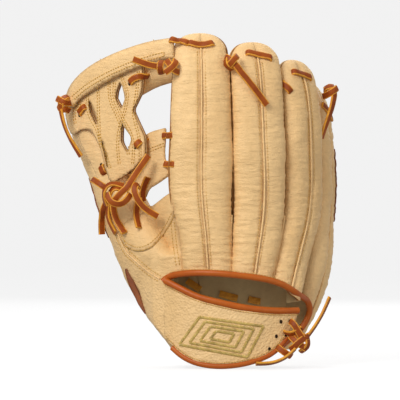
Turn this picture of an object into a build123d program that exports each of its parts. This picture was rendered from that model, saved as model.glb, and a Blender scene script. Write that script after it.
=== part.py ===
"""Baseball fielding glove worn on the right hand, fingers up (+Z), back of the hand facing -Y.

The origin is the middle of the opening over the back of the hand. The finger row runs from the
thumb at -X, over the web, to the pinky at +X, and curves round the ball pocket, which faces +Y.
"""
from build123d import *
import os
from math import atan2, cos, hypot, radians, sin, sqrt, tan

os.makedirs("parts", exist_ok=True)

# Driving dimensions (mm)
LEATHER = 2.4  # shell leather
LINING = 1.4  # soft inner leather
FELT = 3.0  # palm padding
PLY_GAP = 0.3  # air between plies
BODY_GAP = 0.5  # half of the air between two bodies
LACE_WIDTH = 5.8  # rawhide lace, flat
LACE_ROUND = 3.6  # diameter of the plain tubes that stand for threaded lace
BACK_EDGE = 16.0  # lower edge of the finger backs, at the opening
STALL_BASE = 68.0  # where a finger stall begins
HEEL = -60.0  # lower edge of the palm

# Hinge lines of the leather, each on the palm side of everything that it parts
THUMB_AXIS = ((-20.0, 52.0, -60.0), (-56.0, 16.5, 205.0))
PINKY_AXIS = ((36.0, 60.0, -60.0), (60.0, 60.0, 190.0))


def on_axis(axis, z):
    """The point of a hinge line at a height."""
    (x0, y0, z0), (x1, y1, z1) = axis
    t = (z - z0) / (z1 - z0)
    return x0 + t * (x1 - x0), y0 + t * (y1 - y0)


def finger_stations(wrist, base, top, tip, width, thick, turn, curl):
    """Sections (z, x, y, half width, half thickness, turn) of a stall that curls to the palm."""
    x, y = base
    inward = (-sin(radians(turn)), cos(radians(turn)))
    sections = [wrist, (STALL_BASE, x, y, width, thick, turn)]
    middle = (STALL_BASE + tip) / 2
    for z, bend, w, t in (
        (middle, 0.05, 1.0, 0.92),
        (tip - 30, 0.45, 0.96, 0.78),
        (tip - 12, 0.8, 0.78, 0.58),
        (tip - 2, 1.0, 0.42, 0.3),
    ):
        along = (z - STALL_BASE) / (tip - STALL_BASE)
        lean = along * (top - x)
        place = (x + lean + bend * curl * inward[0], y + bend * curl * inward[1])
        sections.append((z, place[0], place[1], width * w, thick * t, turn))
    return sections


INDEX = finger_stations((BACK_EDGE, -25, -1, 19, 14, 2), (-30, 1), -31, 224, 24.8, 15, 3, 13)
MIDDLE = finger_stations((BACK_EDGE, 13.2, 1.5, 17.4, 14, 12), (17.8, 9), 17.8, 216.5, 22, 15, 20, 13)
RING = finger_stations((BACK_EDGE, 44, 15.5, 16, 13, 38), (53.6, 34.5), 58.5, 202, 20.4, 14, 48, 13)
PINKY = [
    (-50, 43, 41, 12, 9, 62),
    (-28, 50, 42, 16, 12, 64),
    (0, 61.5, 46, 18, 13, 66),
    (34, 69, 58, 19, 13, 70),
    (STALL_BASE, 73, 72, 19.5, 12, 76),
    (125, 73, 76, 19.5, 12, 78),
    (155, 70, 76.5, 18.5, 11, 78),
    (172, 67, 77, 15, 8, 78),
    (181, 66, 77.5, 8, 4, 78),
]
THUMB = [
    (-45, -44, 36, 20, 12, -60),
    (-12, -64, 33, 27, 15, -50),
    (30, -77, 33, 32, 17, -45),
    (STALL_BASE, -95, 45, 28, 16, -48),
    (100, -110, 58.5, 24, 15, -52),
    (135, -128, 68.5, 20, 13, -55),
    (154, -133, 70, 16, 10, -57),
    (165, -135, 71, 8, 5, -57),
]


TIP_DROP = 2.4  # an inner ply ends this much lower per millimetre of its depth


def sleeve(sections, outer, inner):
    """A lining: the hollow between two depths in a stall, closed at the tip, open at its foot."""
    forms = []
    for shrink, deeper in ((outer, 0.0), (inner, 1.0)):
        kept = [s for s in sections if s[0] >= STALL_BASE]
        top = kept[-1][0] - TIP_DROP * shrink
        levels = [(s[0], s) for s in kept[:-1] if s[0] < top]
        levels.append((top, kept[-1]))
        if deeper:
            levels.insert(0, (STALL_BASE - deeper, kept[0]))
        with BuildPart() as stall_form:
            for level, (_, x, y, w, t, turn) in levels:
                with BuildSketch(Plane.XY.offset(level)):
                    with Locations(Location((x, y, 0), (0, 0, turn))):
                        Ellipse(w - shrink, max(t - shrink, 0.8))
            loft(ruled=True)
        forms.append(stall_form.part)
    with BuildPart() as hollow:
        add(forms[0])
        add(forms[1], mode=Mode.SUBTRACT)
    return hollow.part


def shell(sections, near, far, sector, low, high=1000.0, closed=True):
    """One leather panel of a stall: a sector of the wall between two depths, closed at its tip.

    The sector is in degrees about the stall: 180 to 360 is its back, 270 its centre seam.
    """
    kept = [s for s in sections if low <= s[0] <= high]
    with BuildPart() as panel:
        for section in kept:
            z, x, y, w, t, turn = section
            tip = closed and section is sections[-1]
            along = (cos(radians(turn)), sin(radians(turn)), 0)
            inner = (0.6, 0.4) if tip else (w - far, t - far)
            span = sector[1] - sector[0]
            with BuildSketch(Plane((x, y, z), x_dir=along)):
                with BuildLine():
                    outside = EllipticalCenterArc((0, 0), w - near, t - near, sector[0], arc_size=span)
                    inside = EllipticalCenterArc((0, 0), *inner, sector[0], arc_size=span)
                    Line(outside @ 0, inside @ 0)
                    Line(outside @ 1, inside @ 1)
                make_face()
        loft(ruled=True)
    return panel.part


def rib(sections, low, high, wide, proud):
    """A welting strip that stands proud of the centre seam."""
    kept = [s for s in sections if low <= s[0] <= high]
    with BuildPart() as strip:
        for z, x, y, _, t, turn in kept:
            out = (sin(radians(turn)), -cos(radians(turn)))
            reach = t + PLY_GAP + proud / 2
            with BuildSketch(Plane.XY.offset(z)):
                with Locations(Location((x + reach * out[0], y + reach * out[1], 0), (0, 0, turn))):
                    Rectangle(wide, proud)
        loft(ruled=True)
    return strip.part


def save(part, label):
    """Name a finished piece and write its STEP file."""
    part.label = label
    export_step(part, f"parts/{label}.step")


# ---- laces -----------------------------------------------------------------------------------


def tube(points, radius, bend=None):
    """A round bar along straight runs joined by tangent arcs, as large as the runs allow."""
    route = [Vector(*p) for p in points]
    radii = []
    for a, b, c in zip(route, route[1:], route[2:]):
        turn = radians((b - a).get_angle(c - b))
        radii.append(bend or 0.45 * min((b - a).length, (c - b).length) / tan(turn / 2))
    with BuildPart() as bar:
        with BuildLine() as path:
            FilletPolyline(*route, radius=radii)
        with BuildSketch(Plane(route[0], z_dir=path.line % 0)):
            Circle(radius)
        sweep()
    return bar.part, path.wires()[0].length, min(radii)


def tip_lace_route(fingers, half_span, outside, inside):
    """In and out through the back of each fingertip, one finger after the other."""
    route = []
    for sections in fingers:
        z, x, y, w, t, turn = sections[-2]
        along = (cos(radians(turn)), sin(radians(turn)))
        out = (along[1], -along[0])
        skin = t * sqrt(1 - (half_span / w) ** 2)
        for s, r in (
            (-half_span, -inside), (-half_span, skin + outside),
            (half_span, skin + outside), (half_span, -inside),
        ):
            route.append((x + s * along[0] + r * out[0], y + s * along[1] + r * out[1], z))
    return route


def cut(part, *tools):
    """A part with the room for its laces taken out."""
    with BuildPart() as holed:
        add(part)
        for tool in tools:
            add(tool, mode=Mode.SUBTRACT)
    return holed.part


LACE_RADIUS = LACE_ROUND / 2
LACE_BEND = 2.4
TIP_SPAN = 8.5
ROOT_TIP_ROUTE = tip_lace_route((INDEX, MIDDLE, RING), TIP_SPAN, LACE_RADIUS + 1.4, 0.0)
PINKY_TIP_ROUTE = tip_lace_route((PINKY,), 7.0, LACE_RADIUS + 1.4, 0.0)
save(tube(ROOT_TIP_ROUTE, LACE_RADIUS, LACE_BEND)[0], "fingertip_lace")
save(tube(PINKY_TIP_ROUTE, LACE_RADIUS, LACE_BEND)[0], "pinky_tip_lace")
ROOT_TIP_ROOM = tube(ROOT_TIP_ROUTE, LACE_RADIUS + PLY_GAP, LACE_BEND)[0]
PINKY_TIP_ROOM = tube(PINKY_TIP_ROUTE, LACE_RADIUS + PLY_GAP, LACE_BEND)[0]

# ---- finger backs, fronts and linings -------------------------------------------------------
STIFFENER = 2.0
WELT_WIDE = 1.8
WELT_PROUD = 1.2
SEAM = 0.6  # degrees left open at a seam
fronts = {}
welts = []
for name, sections, low, room, sides in (
    ("index", INDEX, BACK_EDGE, ROOT_TIP_ROOM, ("web_side", "middle_side")),
    ("middle", MIDDLE, BACK_EDGE, ROOT_TIP_ROOM, ("index_side", "ring_side")),
    ("ring", RING, BACK_EDGE, ROOT_TIP_ROOM, ("middle_side", "pinky_side")),
    ("pinky", PINKY, -50, PINKY_TIP_ROOM, ("ring_side", "outer_side")),
    ("thumb", THUMB, -45, None, ("outer_side", "web_side")),
):
    rooms = () if room is None else (room,)
    for side, sector in zip(sides, ((180 + SEAM, 270 - SEAM), (270 + SEAM, 360 - SEAM))):
        save(cut(shell(sections, 0, LEATHER, sector, low), *rooms), f"{name}_back_{side}")
    front = shell(sections, 0, LEATHER, (SEAM, 180 - SEAM), STALL_BASE)
    fronts[name] = cut(front, *rooms)
    inner = LEATHER + PLY_GAP
    if name in ("thumb", "pinky"):
        outer = inner + STIFFENER
        save(shell(sections, inner, outer, (200, 340), 0, 126, False), f"{name}_stiffener")
        inner = outer + PLY_GAP
    save(cut(sleeve(sections, inner, inner + LINING), *rooms), f"{name}_lining")
    welt = rib(sections, low, sections[-2][0] - 1, WELT_WIDE, WELT_PROUD)
    if name in ("thumb", "pinky"):
        save(welt, f"{name}_welt")
    else:
        welts.append(welt)
with BuildPart() as finger_welting:
    add(welts)
save(finger_welting.part, "finger_welting")


# ---- palm: leather, felt and lining follow one curved wall, in three bodies --------------------
PALM_CURVE = ((HEEL, 0.0, 190.0, 145.0), (0.0, -5.0, 125.0, 90.0), (STALL_BASE - 1, -15.0, 87.0, 70.0))


def palm_wall(first, last, near, far):
    """A wall of the palm from edge first(z) to edge last(z), between two depths behind its face."""
    with BuildPart() as wall:
        for z, cx, cy, radius in PALM_CURVE:
            x0, x1 = first(z), last(z)
            xm = (x0 + x1) / 2
            with BuildSketch(Plane.XY.offset(z)):
                with BuildLine():
                    rows = []
                    for depth in (near, far):
                        r = radius + depth
                        rows.append([(x, cy - sqrt(r * r - (x - cx) ** 2)) for x in (x0, xm, x1)])
                    face, rear = rows
                    ThreePointArc(*face)
                    Line(face[2], rear[2])
                    ThreePointArc(rear[2], rear[1], rear[0])
                    Line(rear[0], face[0])
                make_face()
        loft(ruled=True)
    return wall.part


def thumb_edge(z):
    return on_axis(THUMB_AXIS, z)[0] + BODY_GAP


def pinky_edge(z):
    return on_axis(PINKY_AXIS, z)[0] - BODY_GAP - 0.6


palm_face = palm_wall(thumb_edge, pinky_edge, 0, LEATHER)
with BuildPart() as palm_leather:
    add(palm_face)
    add(fronts["index"])
    add(fronts["middle"])
    add(fronts["ring"])
palm_leather_whole = palm_leather.part
depth = LEATHER + PLY_GAP
palm_felt = palm_wall(thumb_edge, pinky_edge, depth, depth + FELT)
depth += FELT + PLY_GAP
palm_lining = palm_wall(thumb_edge, pinky_edge, depth, depth + LINING)

# Thumb and pinky shares of the palm leather, each with its felt heel pad behind it


def side_wall(stations, near, far):
    """A straight wall between two plan points at each level, from depth near to depth far."""
    with BuildPart() as wall:
        for z, (x0, y0), (x1, y1) in stations:
            run = hypot(x1 - x0, y1 - y0)
            back = ((y1 - y0) / run, -(x1 - x0) / run)
            if back[1] > 0:
                back = (-back[0], -back[1])
            corners = [
                (x0 + near * back[0], y0 + near * back[1]),
                (x1 + near * back[0], y1 + near * back[1]),
                (x1 + far * back[0], y1 + far * back[1]),
                (x0 + far * back[0], y0 + far * back[1]),
            ]
            with BuildSketch(Plane.XY.offset(z)):
                with BuildLine():
                    Polyline(*corners, close=True)
                make_face()
        loft(ruled=True)
    return wall.part


THUMB_WALL = [
    (HEEL, (-22.5, 47.5), (-50, 55)),
    (0.0, (-30.5, 38.5), (-78, 57)),
    (STALL_BASE - 1, (-42, 24), (-108, 70)),
]
PINKY_WALL = [
    (HEEL, (37.5, 53), (45, 56)),
    (0.0, (43.5, 51), (65, 65)),
    (STALL_BASE - 1, (50.5, 62), (69, 91)),
]
PAD_SHARE = 0.8  # of the wall's breadth
for side, wall in (("thumb", THUMB_WALL), ("pinky", PINKY_WALL)):
    plate = side_wall(wall, 0, LEATHER)
    with BuildPart() as palm_share:
        add(plate)
        add(fronts[side])
    save(palm_share.part, f"palm_leather_{side}")
    pad_wall = [
        (z, a, (a[0] + PAD_SHARE * (b[0] - a[0]), a[1] + PAD_SHARE * (b[1] - a[1])))
        for z, a, b in wall[:2]
    ]
    pad_near = LEATHER + PLY_GAP
    save(side_wall(pad_wall, pad_near, pad_near + FELT), f"{side}_heel_pad")


# ---- curved panels: a plan band, cut to an outline seen from the back ------------------------


def circle_of(arc):
    """Centre and radius of the circle through three plan points."""
    (ax, ay), (bx, by), (cx, cy) = arc
    d = 2 * (ax * (by - cy) + bx * (cy - ay) + cx * (ay - by))
    a, b, c = ax * ax + ay * ay, bx * bx + by * by, cx * cx + cy * cy
    x = (a * (by - cy) + b * (cy - ay) + c * (ay - by)) / d
    y = (a * (cx - bx) + b * (ax - cx) + c * (bx - ax)) / d
    return x, y, hypot(ax - x, ay - y)


def offset_arc(arc, depth):
    """The concentric arc, depth further to the back."""
    x, y, radius = circle_of(arc)
    scale = (radius + depth) / radius
    return [(x + (px - x) * scale, y + (py - y) * scale) for px, py in arc]


def curved_panel(arc, near, far, outline, windows=(), corner=0.0):
    """A sheet between two offsets of a plan arc, cut to an outline (x, z) with windows."""
    levels = [point[1] for point in outline]
    inside, outside = offset_arc(arc, near), offset_arc(arc, far)
    with BuildPart() as panel:
        with BuildSketch(Plane.XY.offset(min(levels) - 1)):
            with BuildLine():
                ThreePointArc(*inside)
                Line(inside[2], outside[2])
                ThreePointArc(*outside[::-1])
                Line(outside[0], inside[0])
            make_face()
        extrude(amount=max(levels) - min(levels) + 2)
        with BuildSketch(Plane.XZ):
            with BuildLine():
                Polyline(*outline, close=True)
            make_face()
            if corner:
                fillet(vertices(), corner)
        extrude(amount=400, both=True, mode=Mode.INTERSECT)
        for window in windows:
            with BuildSketch(Plane.XZ):
                with BuildLine():
                    Polyline(*window, close=True)
                make_face()
            extrude(amount=400, both=True, mode=Mode.SUBTRACT)
    return panel.part


# The web hangs between the index finger and the thumb on one plan arc
WEB_ARC = ((-56.8, 8.5), (-100.0, 26.5), (-139.0, 60.0))
WEB_SLITS = (
    ((-104.5, 181), (-98.0, 172), (-99.0, 160), (-104.5, 169)),
    ((-100.0, 145), (-92.5, 134), (-91.5, 121), (-99.0, 128)),
    ((-128.6, 165.8), (-122.0, 155), (-122.0, 145), (-128.0, 153)),
    ((-117.0, 131), (-111.5, 119), (-112.0, 108), (-116.5, 119)),
)
WEB_OUTLINE = (
    (-137, 166), (-127, 178), (-108, 189), (-82, 198), (-82, 172), (-89, 155),
    (-79.5, 131), (-87, 108), (-104.5, 95), (-113, 103), (-117, 122), (-128, 142),
)
RAIL_OUTLINE = (
    (-147.5, 164), (-145, 176), (-140, 185), (-127, 197), (-111, 204), (-93, 210),
    (-75, 215), (-56.6, 218), (-56.6, 200), (-72, 197.5), (-93, 191), (-111, 183),
    (-127, 174), (-138, 166), (-141, 160),
)
ROLL_OUTLINE = ((-81.5, 200), (-58, 200), (-58, 181), (-69, 176.5), (-81.5, 172.5))
BASE_ARC = ((-57.5, 14.0), (-72.0, 21.0), (-86.0, 33.0))
BASE_OUTLINE = ((-62.5, 140), (-79, 134), (-76, 110), (-72, 89.5), (-58, 99), (-60.5, 118))
RAIL_THICK = 5.5
ROLL_THICK = 5.0
PLY = PLY_GAP / 2


def on_arc(arc, x, z, depth):
    """The point of a curved wall at (x, z), depth further to the back."""
    cx, cy, radius = circle_of(arc)
    angle = atan2(-sqrt(radius ** 2 - (x - cx) ** 2), x - cx)
    r = radius + depth
    return cx + r * cos(angle), cy + r * sin(angle), z


def staple_route(arc, first, second, proud, deep_first, deep_second):
    """A stitch of lace over the back of a wall, from one hole (x, z) to the next."""
    return [
        on_arc(arc, *first, -deep_first),
        on_arc(arc, *first, proud),
        on_arc(arc, *second, proud),
        on_arc(arc, *second, -deep_second),
    ]


WEB_STITCHES = (
    staple_route(WEB_ARC, (-91, 181), (-76.5, 187), 6.5, 5, 13),
    staple_route(WEB_ARC, (-131, 156), (-125.5, 147), 5.5, 5, 5),
    staple_route(WEB_ARC, (-88.5, 124), (-76, 130), 6.5, 5, 13),
)
web_rooms = [tube(route, LACE_RADIUS + PLY_GAP, LACE_BEND)[0] for route in WEB_STITCHES]
web_back = curved_panel(WEB_ARC, PLY, PLY + LEATHER, WEB_OUTLINE, WEB_SLITS)
save(cut(web_back, *web_rooms), "web_back_panel")
web_front = curved_panel(WEB_ARC, -PLY - LEATHER, -PLY, WEB_OUTLINE, WEB_SLITS)
save(cut(web_front, *web_rooms), "web_front_panel")
rail_near = LEATHER + 2 * PLY_GAP
save(curved_panel(WEB_ARC, rail_near, rail_near + RAIL_THICK, RAIL_OUTLINE), "web_top_rail")
web_roll = curved_panel(WEB_ARC, -4 - ROLL_THICK, -4, ROLL_OUTLINE)
save(cut(web_roll, *web_rooms), "web_front_roll")
save(cut(curved_panel(BASE_ARC, 0, LEATHER, BASE_OUTLINE), *web_rooms), "web_base_strap")
GUSSET_ARC = ((-57.8, 8.0), (-68.0, 13.5), (-78.0, 24.0))
GUSSET_OUTLINE = ((-57.8, 86), (-66, 84), (-75, 78), (-71, 66), (-62, 52), (-57.8, 46))
save(curved_panel(GUSSET_ARC, 0, LEATHER, GUSSET_OUTLINE), "thumb_crotch_gusset")

# Three stitches, and two short bridges that tie the base strap to the side of the index finger
BRIDGES = (((-60.9, 9.5, 134.5), (-57.2, 6.0, 134.5)), ((-60.9, 9.5, 109.5), (-57.2, 6.0, 109.5)))
with BuildPart() as web_lace:
    for route in WEB_STITCHES:
        add(tube(route, LACE_RADIUS, LACE_BEND)[0])
    for start, end in BRIDGES:
        with BuildSketch(Plane(start, z_dir=Vector(*end) - Vector(*start))):
            Circle(LACE_RADIUS)
        extrude(amount=hypot(end[0] - start[0], end[1] - start[1]))
save(web_lace.part, "web_lace")

# ---- wrist strap over the back of the hand ------------------------------------------------------
STRAP_ARC = ((-59.5, 0.0), (-4.0, -16.0), (54.0, 3.0))
STRAP_TOP = ((-59.5, 7), (-48, 0.5), (-34, -6.5), (-15, -11), (5, -15.5), (26, -18), (45, -18.5))
STRAP_LOW = (
    (53, -18.6), (51.5, -26), (48.5, -33), (42, -40), (38, -46), (26, -53), (7.5, -58),
    (-10, -60.5), (-31, -59), (-44, -55.5), (-52.5, -49), (-58, -42), (-59.5, -20),
)
STRAP_OUTLINE = STRAP_TOP + STRAP_LOW
SPARE_HOLES = ((38.6, -26.3), (34.6, -38.7), (28.6, -49.7))
BINDING = 5.5
BINDING_PLY = 3.6
BADGE = ((-46, -26), (12, -36), (12, -50), (-46, -42))


def edging(points, near, far):
    """A band that follows a row of points (x, z), between two offsets on its left."""
    rows = []
    for offset_by in (near, far):
        row = []
        for i, (x, z) in enumerate(points):
            before = points[max(i - 1, 0)]
            after = points[min(i + 1, len(points) - 1)]
            run = hypot(after[0] - before[0], after[1] - before[1])
            row.append((
                x - offset_by * (after[1] - before[1]) / run,
                z + offset_by * (after[0] - before[0]) / run,
            ))
        rows.append(row)
    return rows[0] + rows[1][::-1]


strap_sheet = curved_panel(STRAP_ARC, 0, LEATHER, STRAP_OUTLINE)
with BuildPart() as wrist_strap:
    add(strap_sheet)
    with BuildSketch(Plane.XZ):
        with Locations(*SPARE_HOLES):
            Circle(1.5)
    extrude(amount=400, both=True, mode=Mode.SUBTRACT)
save(wrist_strap.part, "wrist_strap")
strap_lining_outline = tuple((x * 0.94, (z + 36) * 0.9 - 36) for x, z in STRAP_OUTLINE)
save(curved_panel(STRAP_ARC, -PLY_GAP - FELT, -PLY_GAP, strap_lining_outline), "strap_lining")
top_band = edging(STRAP_TOP + STRAP_LOW[:1], 0.4, 0.4 + BINDING)
save(curved_panel(STRAP_ARC, LEATHER - BINDING_PLY, LEATHER, top_band), "strap_top_binding")
low_band = edging(STRAP_LOW[3:12], 0.4, 0.4 + BINDING)
save(curved_panel(STRAP_ARC, LEATHER - BINDING_PLY, LEATHER, low_band), "strap_bottom_binding")
badge_near = LEATHER + PLY_GAP
save(curved_panel(STRAP_ARC, badge_near, badge_near + 0.8, BADGE, corner=3.0), "strap_badge")

# The upper edge of the opening is bound too, over the feet of the finger backs
OPENING_ARC = ((-60.0, 4.0), (-2.0, -20.5), (63.0, 19.0))
OPENING_RUN = (
    (-51, 13.2), (-44, 14.6), (-27, 15.5), (-6, 14), (15, 11.5), (31, 8.5), (45, 3), (54, -5),
)
save(curved_panel(OPENING_ARC, 0, BINDING_PLY, edging(OPENING_RUN, -2.75, 2.75)), "opening_binding")

# ---- heel lace, inner loops, patches -------------------------------------------------------------
HEEL_LACE_Z = -48.0
HEEL_STEP = 9.0
palm_depth = LEATHER + FELT + LINING + 2 * PLY_GAP


def palm_point(x, z, deep):
    """A point of the palm, deep behind its face, between the two lowest of its levels."""
    (z0, x0, y0, r0), (z1, x1, y1, r1) = PALM_CURVE[:2]
    t = (z - z0) / (z1 - z0)
    low = y0 - sqrt((r0 + deep) ** 2 - (x - x0) ** 2)
    high = y1 - sqrt((r1 + deep) ** 2 - (x - x1) ** 2)
    return x, low + t * (high - low), z


heel_route = []
for i, x in enumerate((-14.0, -5.0, 4.0, 13.0, 22.0)):
    first, last = (palm_depth + 3, -3.5) if i % 2 == 0 else (-3.5, palm_depth + 3)
    heel_route += [palm_point(x, HEEL_LACE_Z, first), palm_point(x, HEEL_LACE_Z, last)]
save(tube(heel_route, LACE_RADIUS, LACE_BEND)[0], "heel_lace")
heel_room = tube(heel_route, LACE_RADIUS + PLY_GAP, LACE_BEND)[0]
save(cut(palm_leather_whole, heel_room), "palm_leather")
save(cut(palm_felt, heel_room), "palm_felt")
save(cut(palm_lining, heel_room), "palm_lining")

LOOP_THICK = 2.0
PINKY_LOOP_ARC = ((44.0, 17.0), (51.0, 17.0), (57.5, 24.0))
PINKY_LOOP = ((44, 3), (57.5, 1), (57.5, -9), (44, -11))
save(curved_panel(PINKY_LOOP_ARC, 0, LOOP_THICK, PINKY_LOOP), "pinky_loop")
THUMB_LOOP_ARC = ((-64.0, 32.0), (-58.0, 25.0), (-50.0, 23.0))
THUMB_LOOP = ((-64, 12), (-50, 12), (-50, 2), (-64, 0))
save(curved_panel(THUMB_LOOP_ARC, 0, LOOP_THICK, THUMB_LOOP), "thumb_loop")

PATCHES = {
    "thumb_patches": (THUMB, (190, 262), (
        ((-140, 96), (-95, 96), (-100, 60), (-118, 38), (-130, 60)),
        ((-112, 20), (-97, 24), (-80, 4), (-66, -14), (-95, -20)),
    )),
    "pinky_edge_patch": (PINKY, (278, 350), (((70, 122), (95, 122), (95, 72), (70, 78)),)),
}
PATCH_NEAR = 0.4
PATCH_FAR = 1.4
for name, (sections, sector, outlines) in PATCHES.items():
    skin = shell(sections, -PATCH_FAR, -PATCH_NEAR, sector, -50, 130, False)
    with BuildPart() as patch:
        add(skin)
        with BuildSketch(Plane.XZ):
            for outline in outlines:
                with BuildLine():
                    Polyline(*outline, close=True)
                make_face()
        extrude(amount=400, both=True, mode=Mode.INTERSECT)
    save(patch.part, name)

# ---- knots and free lace tails ----------------------------------------------------------------------
KNOT_MAJOR = 4.4  # a wrap of lace round the lace that it ties
KNOT_MINOR = 2.0
KNOT_CORE = 2.1
KNOT_LONG = 11.0
KNOTS = (
    ("fingertip_knot", (-4.0, -3.5, 199.5), 1.0),
    ("pinky_knot", (86.5, 63.0, 178.0), 1.0),
    ("web_top_knot", (-61.0, -5.0, 193.0), 1.05),
    ("thumb_tip_knot", (-153.5, 55.0, 167.0), 1.0),
    ("crotch_knot", (-104.0, 12.5, 82.0), 1.9),
    ("strap_knot", (53.5, -7.0, -41.0), 1.2),
)
for name, center, scale in KNOTS:
    with BuildPart() as knot:
        with Locations(Location(center, (30, 75, 0))):
            Torus(KNOT_MAJOR * scale, KNOT_MINOR * scale)
            Cylinder(KNOT_CORE * scale, KNOT_LONG * scale)
    save(knot.part, name)

TAIL_RADIUS = LACE_WIDTH / 2
TAILS = {
    "fingertip_tail": (
        (1.5, -7.5, 192.5), (7.0, -8.0, 186.0), (14.0, -7.6, 177.5), (21.0, -6.2, 168.5),
        (26.5, -4.6, 161.0),
    ),
    "pinky_tail": (
        (87.0, 54.5, 169.5), (85.5, 51.0, 161.5), (82.0, 48.6, 151.5), (78.5, 47.0, 141.5),
        (75.8, 46.2, 133.0),
    ),
    "thumb_tail": (
        (-154.0, 50.0, 158.0), (-152.0, 47.0, 148.5), (-148.0, 45.2, 137.5), (-142.0, 44.2, 126.5),
        (-135.8, 43.8, 117.0),
    ),
    "crotch_tail": (
        (-96.0, 2.0, 87.0), (-92.0, 3.0, 93.5), (-87.0, 4.6, 101.5), (-81.5, 6.2, 109.5),
        (-76.0, 7.4, 117.5),
    ),
    "strap_tail_up": (
        (62.2, -9.4, -38.5), (66.8, -9.8, -32.3), (71.5, -8.8, -25.0), (76.0, -7.0, -17.0),
        (81.0, -3.6, -5.5),
    ),
    "strap_tail_low": (
        (51.0, -15.5, -49.5), (45.0, -17.6, -55.5), (36.5, -19.4, -60.0), (27.0, -21.4, -62.2),
        (17.0, -23.2, -62.0),
    ),
}
for name, points in TAILS.items():
    tail, length, tightest = tube(points, TAIL_RADIUS)
    save(tail, name)
    print(f"{name}: {length:.1f} mm long, tightest arc {tightest:.1f} mm")
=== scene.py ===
"""Baseball fielding glove for the right hand, seen from the back of the hand.

Everything is worked out in millimetres in the frame of the CAD model (+X thumb to little finger,
-Y the back of the hand, +Z fingertips) and written in metres. Each stall is a row of sections with
a half width, a half thickness and a turn about Z; angles round a section run from 0 at its far end,
over 90 on the palm side and 180 at its near end, to 270 in the middle of its back.
"""
from math import cos, hypot, pi, radians, sin, sqrt
import bmesh
import bpy
import numpy as np
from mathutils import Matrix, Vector, noise
from mathutils.bvhtree import BVHTree
from mathutils.geometry import delaunay_2d_cdt


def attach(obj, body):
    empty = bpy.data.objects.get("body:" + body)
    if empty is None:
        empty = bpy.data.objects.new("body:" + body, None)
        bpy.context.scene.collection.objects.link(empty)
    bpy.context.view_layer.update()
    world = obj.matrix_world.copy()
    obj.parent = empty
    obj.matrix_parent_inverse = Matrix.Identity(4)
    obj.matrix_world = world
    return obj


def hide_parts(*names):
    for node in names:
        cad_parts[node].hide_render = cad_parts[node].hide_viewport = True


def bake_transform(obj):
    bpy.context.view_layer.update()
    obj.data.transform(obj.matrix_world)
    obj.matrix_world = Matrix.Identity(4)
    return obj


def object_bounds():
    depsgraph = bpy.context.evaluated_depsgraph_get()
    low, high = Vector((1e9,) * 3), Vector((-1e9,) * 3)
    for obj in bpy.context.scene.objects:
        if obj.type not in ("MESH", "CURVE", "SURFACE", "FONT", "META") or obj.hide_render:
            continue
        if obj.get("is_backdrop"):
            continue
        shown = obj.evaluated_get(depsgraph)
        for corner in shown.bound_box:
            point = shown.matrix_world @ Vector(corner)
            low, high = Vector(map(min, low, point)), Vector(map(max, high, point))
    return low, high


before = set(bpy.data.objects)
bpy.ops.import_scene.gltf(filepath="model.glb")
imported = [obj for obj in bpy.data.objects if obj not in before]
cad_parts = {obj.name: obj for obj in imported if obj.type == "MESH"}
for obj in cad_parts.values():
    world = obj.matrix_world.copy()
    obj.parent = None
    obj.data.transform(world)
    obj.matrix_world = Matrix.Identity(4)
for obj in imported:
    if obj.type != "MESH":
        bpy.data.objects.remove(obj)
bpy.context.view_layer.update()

MM = 0.001
LEATHER = 2.4
LACE_WIDTH = 5.8
LACE_THICK = 2.2
LACE_STEP = 0.8  # between the rings of a lace's mesh
ROLL_STEP = 1.2  # between the rings of a binding or piping
BACK_WAY = (0, -1, 0)  # out of the back of the hand

# ---- materials -----------------------------------------------------------------------------------


def node(tree, kind, **values):
    """A shader node, with its plain properties set."""
    made = tree.nodes.new(kind)
    for name, value in values.items():
        setattr(made, name, value)
    return made


def place(tree, scale):
    """Object coordinates, scaled along each axis, per metre."""
    coords = node(tree, "ShaderNodeTexCoord")
    mapping = node(tree, "ShaderNodeMapping")
    mapping.inputs["Scale"].default_value = scale
    tree.links.new(coords.outputs["Object"], mapping.inputs["Vector"])
    return mapping.outputs["Vector"]


def noise_value(tree, scale, detail=3.0, rough=0.5):
    """Fractal noise at a scale per metre along each axis."""
    texture = node(tree, "ShaderNodeTexNoise")
    texture.inputs["Scale"].default_value = 1.0
    texture.inputs["Detail"].default_value = detail
    texture.inputs["Roughness"].default_value = rough
    tree.links.new(place(tree, scale), texture.inputs["Vector"])
    return texture.outputs["Fac"]


def cell_value(tree, scale):
    """Distance to the nearest cell centre: the pebbles of a leather grain."""
    texture = node(tree, "ShaderNodeTexVoronoi")
    texture.feature = "SMOOTH_F1"
    texture.inputs["Scale"].default_value = 1.0
    texture.inputs["Smoothness"].default_value = 0.5
    tree.links.new(place(tree, scale), texture.inputs["Vector"])
    return texture.outputs["Distance"]


def ramp(tree, value, low, high, color_low, color_high):
    """Two colours, mixed as a value goes from low to high."""
    made = node(tree, "ShaderNodeValToRGB")
    made.color_ramp.elements[0].position = low
    made.color_ramp.elements[0].color = (*color_low, 1)
    made.color_ramp.elements[1].position = high
    made.color_ramp.elements[1].color = (*color_high, 1)
    tree.links.new(value, made.inputs["Fac"])
    return made.outputs["Color"]


def mixed(tree, factor, first, second, blend="MIX"):
    """Two colours mixed by a linked or plain factor."""
    made = node(tree, "ShaderNodeMix", data_type="RGBA", blend_type=blend)
    if isinstance(factor, float):
        made.inputs["Factor"].default_value = factor
    else:
        tree.links.new(factor, made.inputs["Factor"])
    for slot, color in ((made.inputs["A"], first), (made.inputs["B"], second)):
        if isinstance(color, tuple):
            slot.default_value = (*color, 1)
        else:
            tree.links.new(color, slot)
    return made.outputs["Result"]


def arithmetic(tree, operation, first, second):
    """A math node over linked or plain values."""
    made = node(tree, "ShaderNodeMath", operation=operation)
    for slot, value in zip(made.inputs, (first, second)):
        if isinstance(value, float):
            slot.default_value = value
        else:
            tree.links.new(value, slot)
    return made.outputs["Value"]


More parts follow.
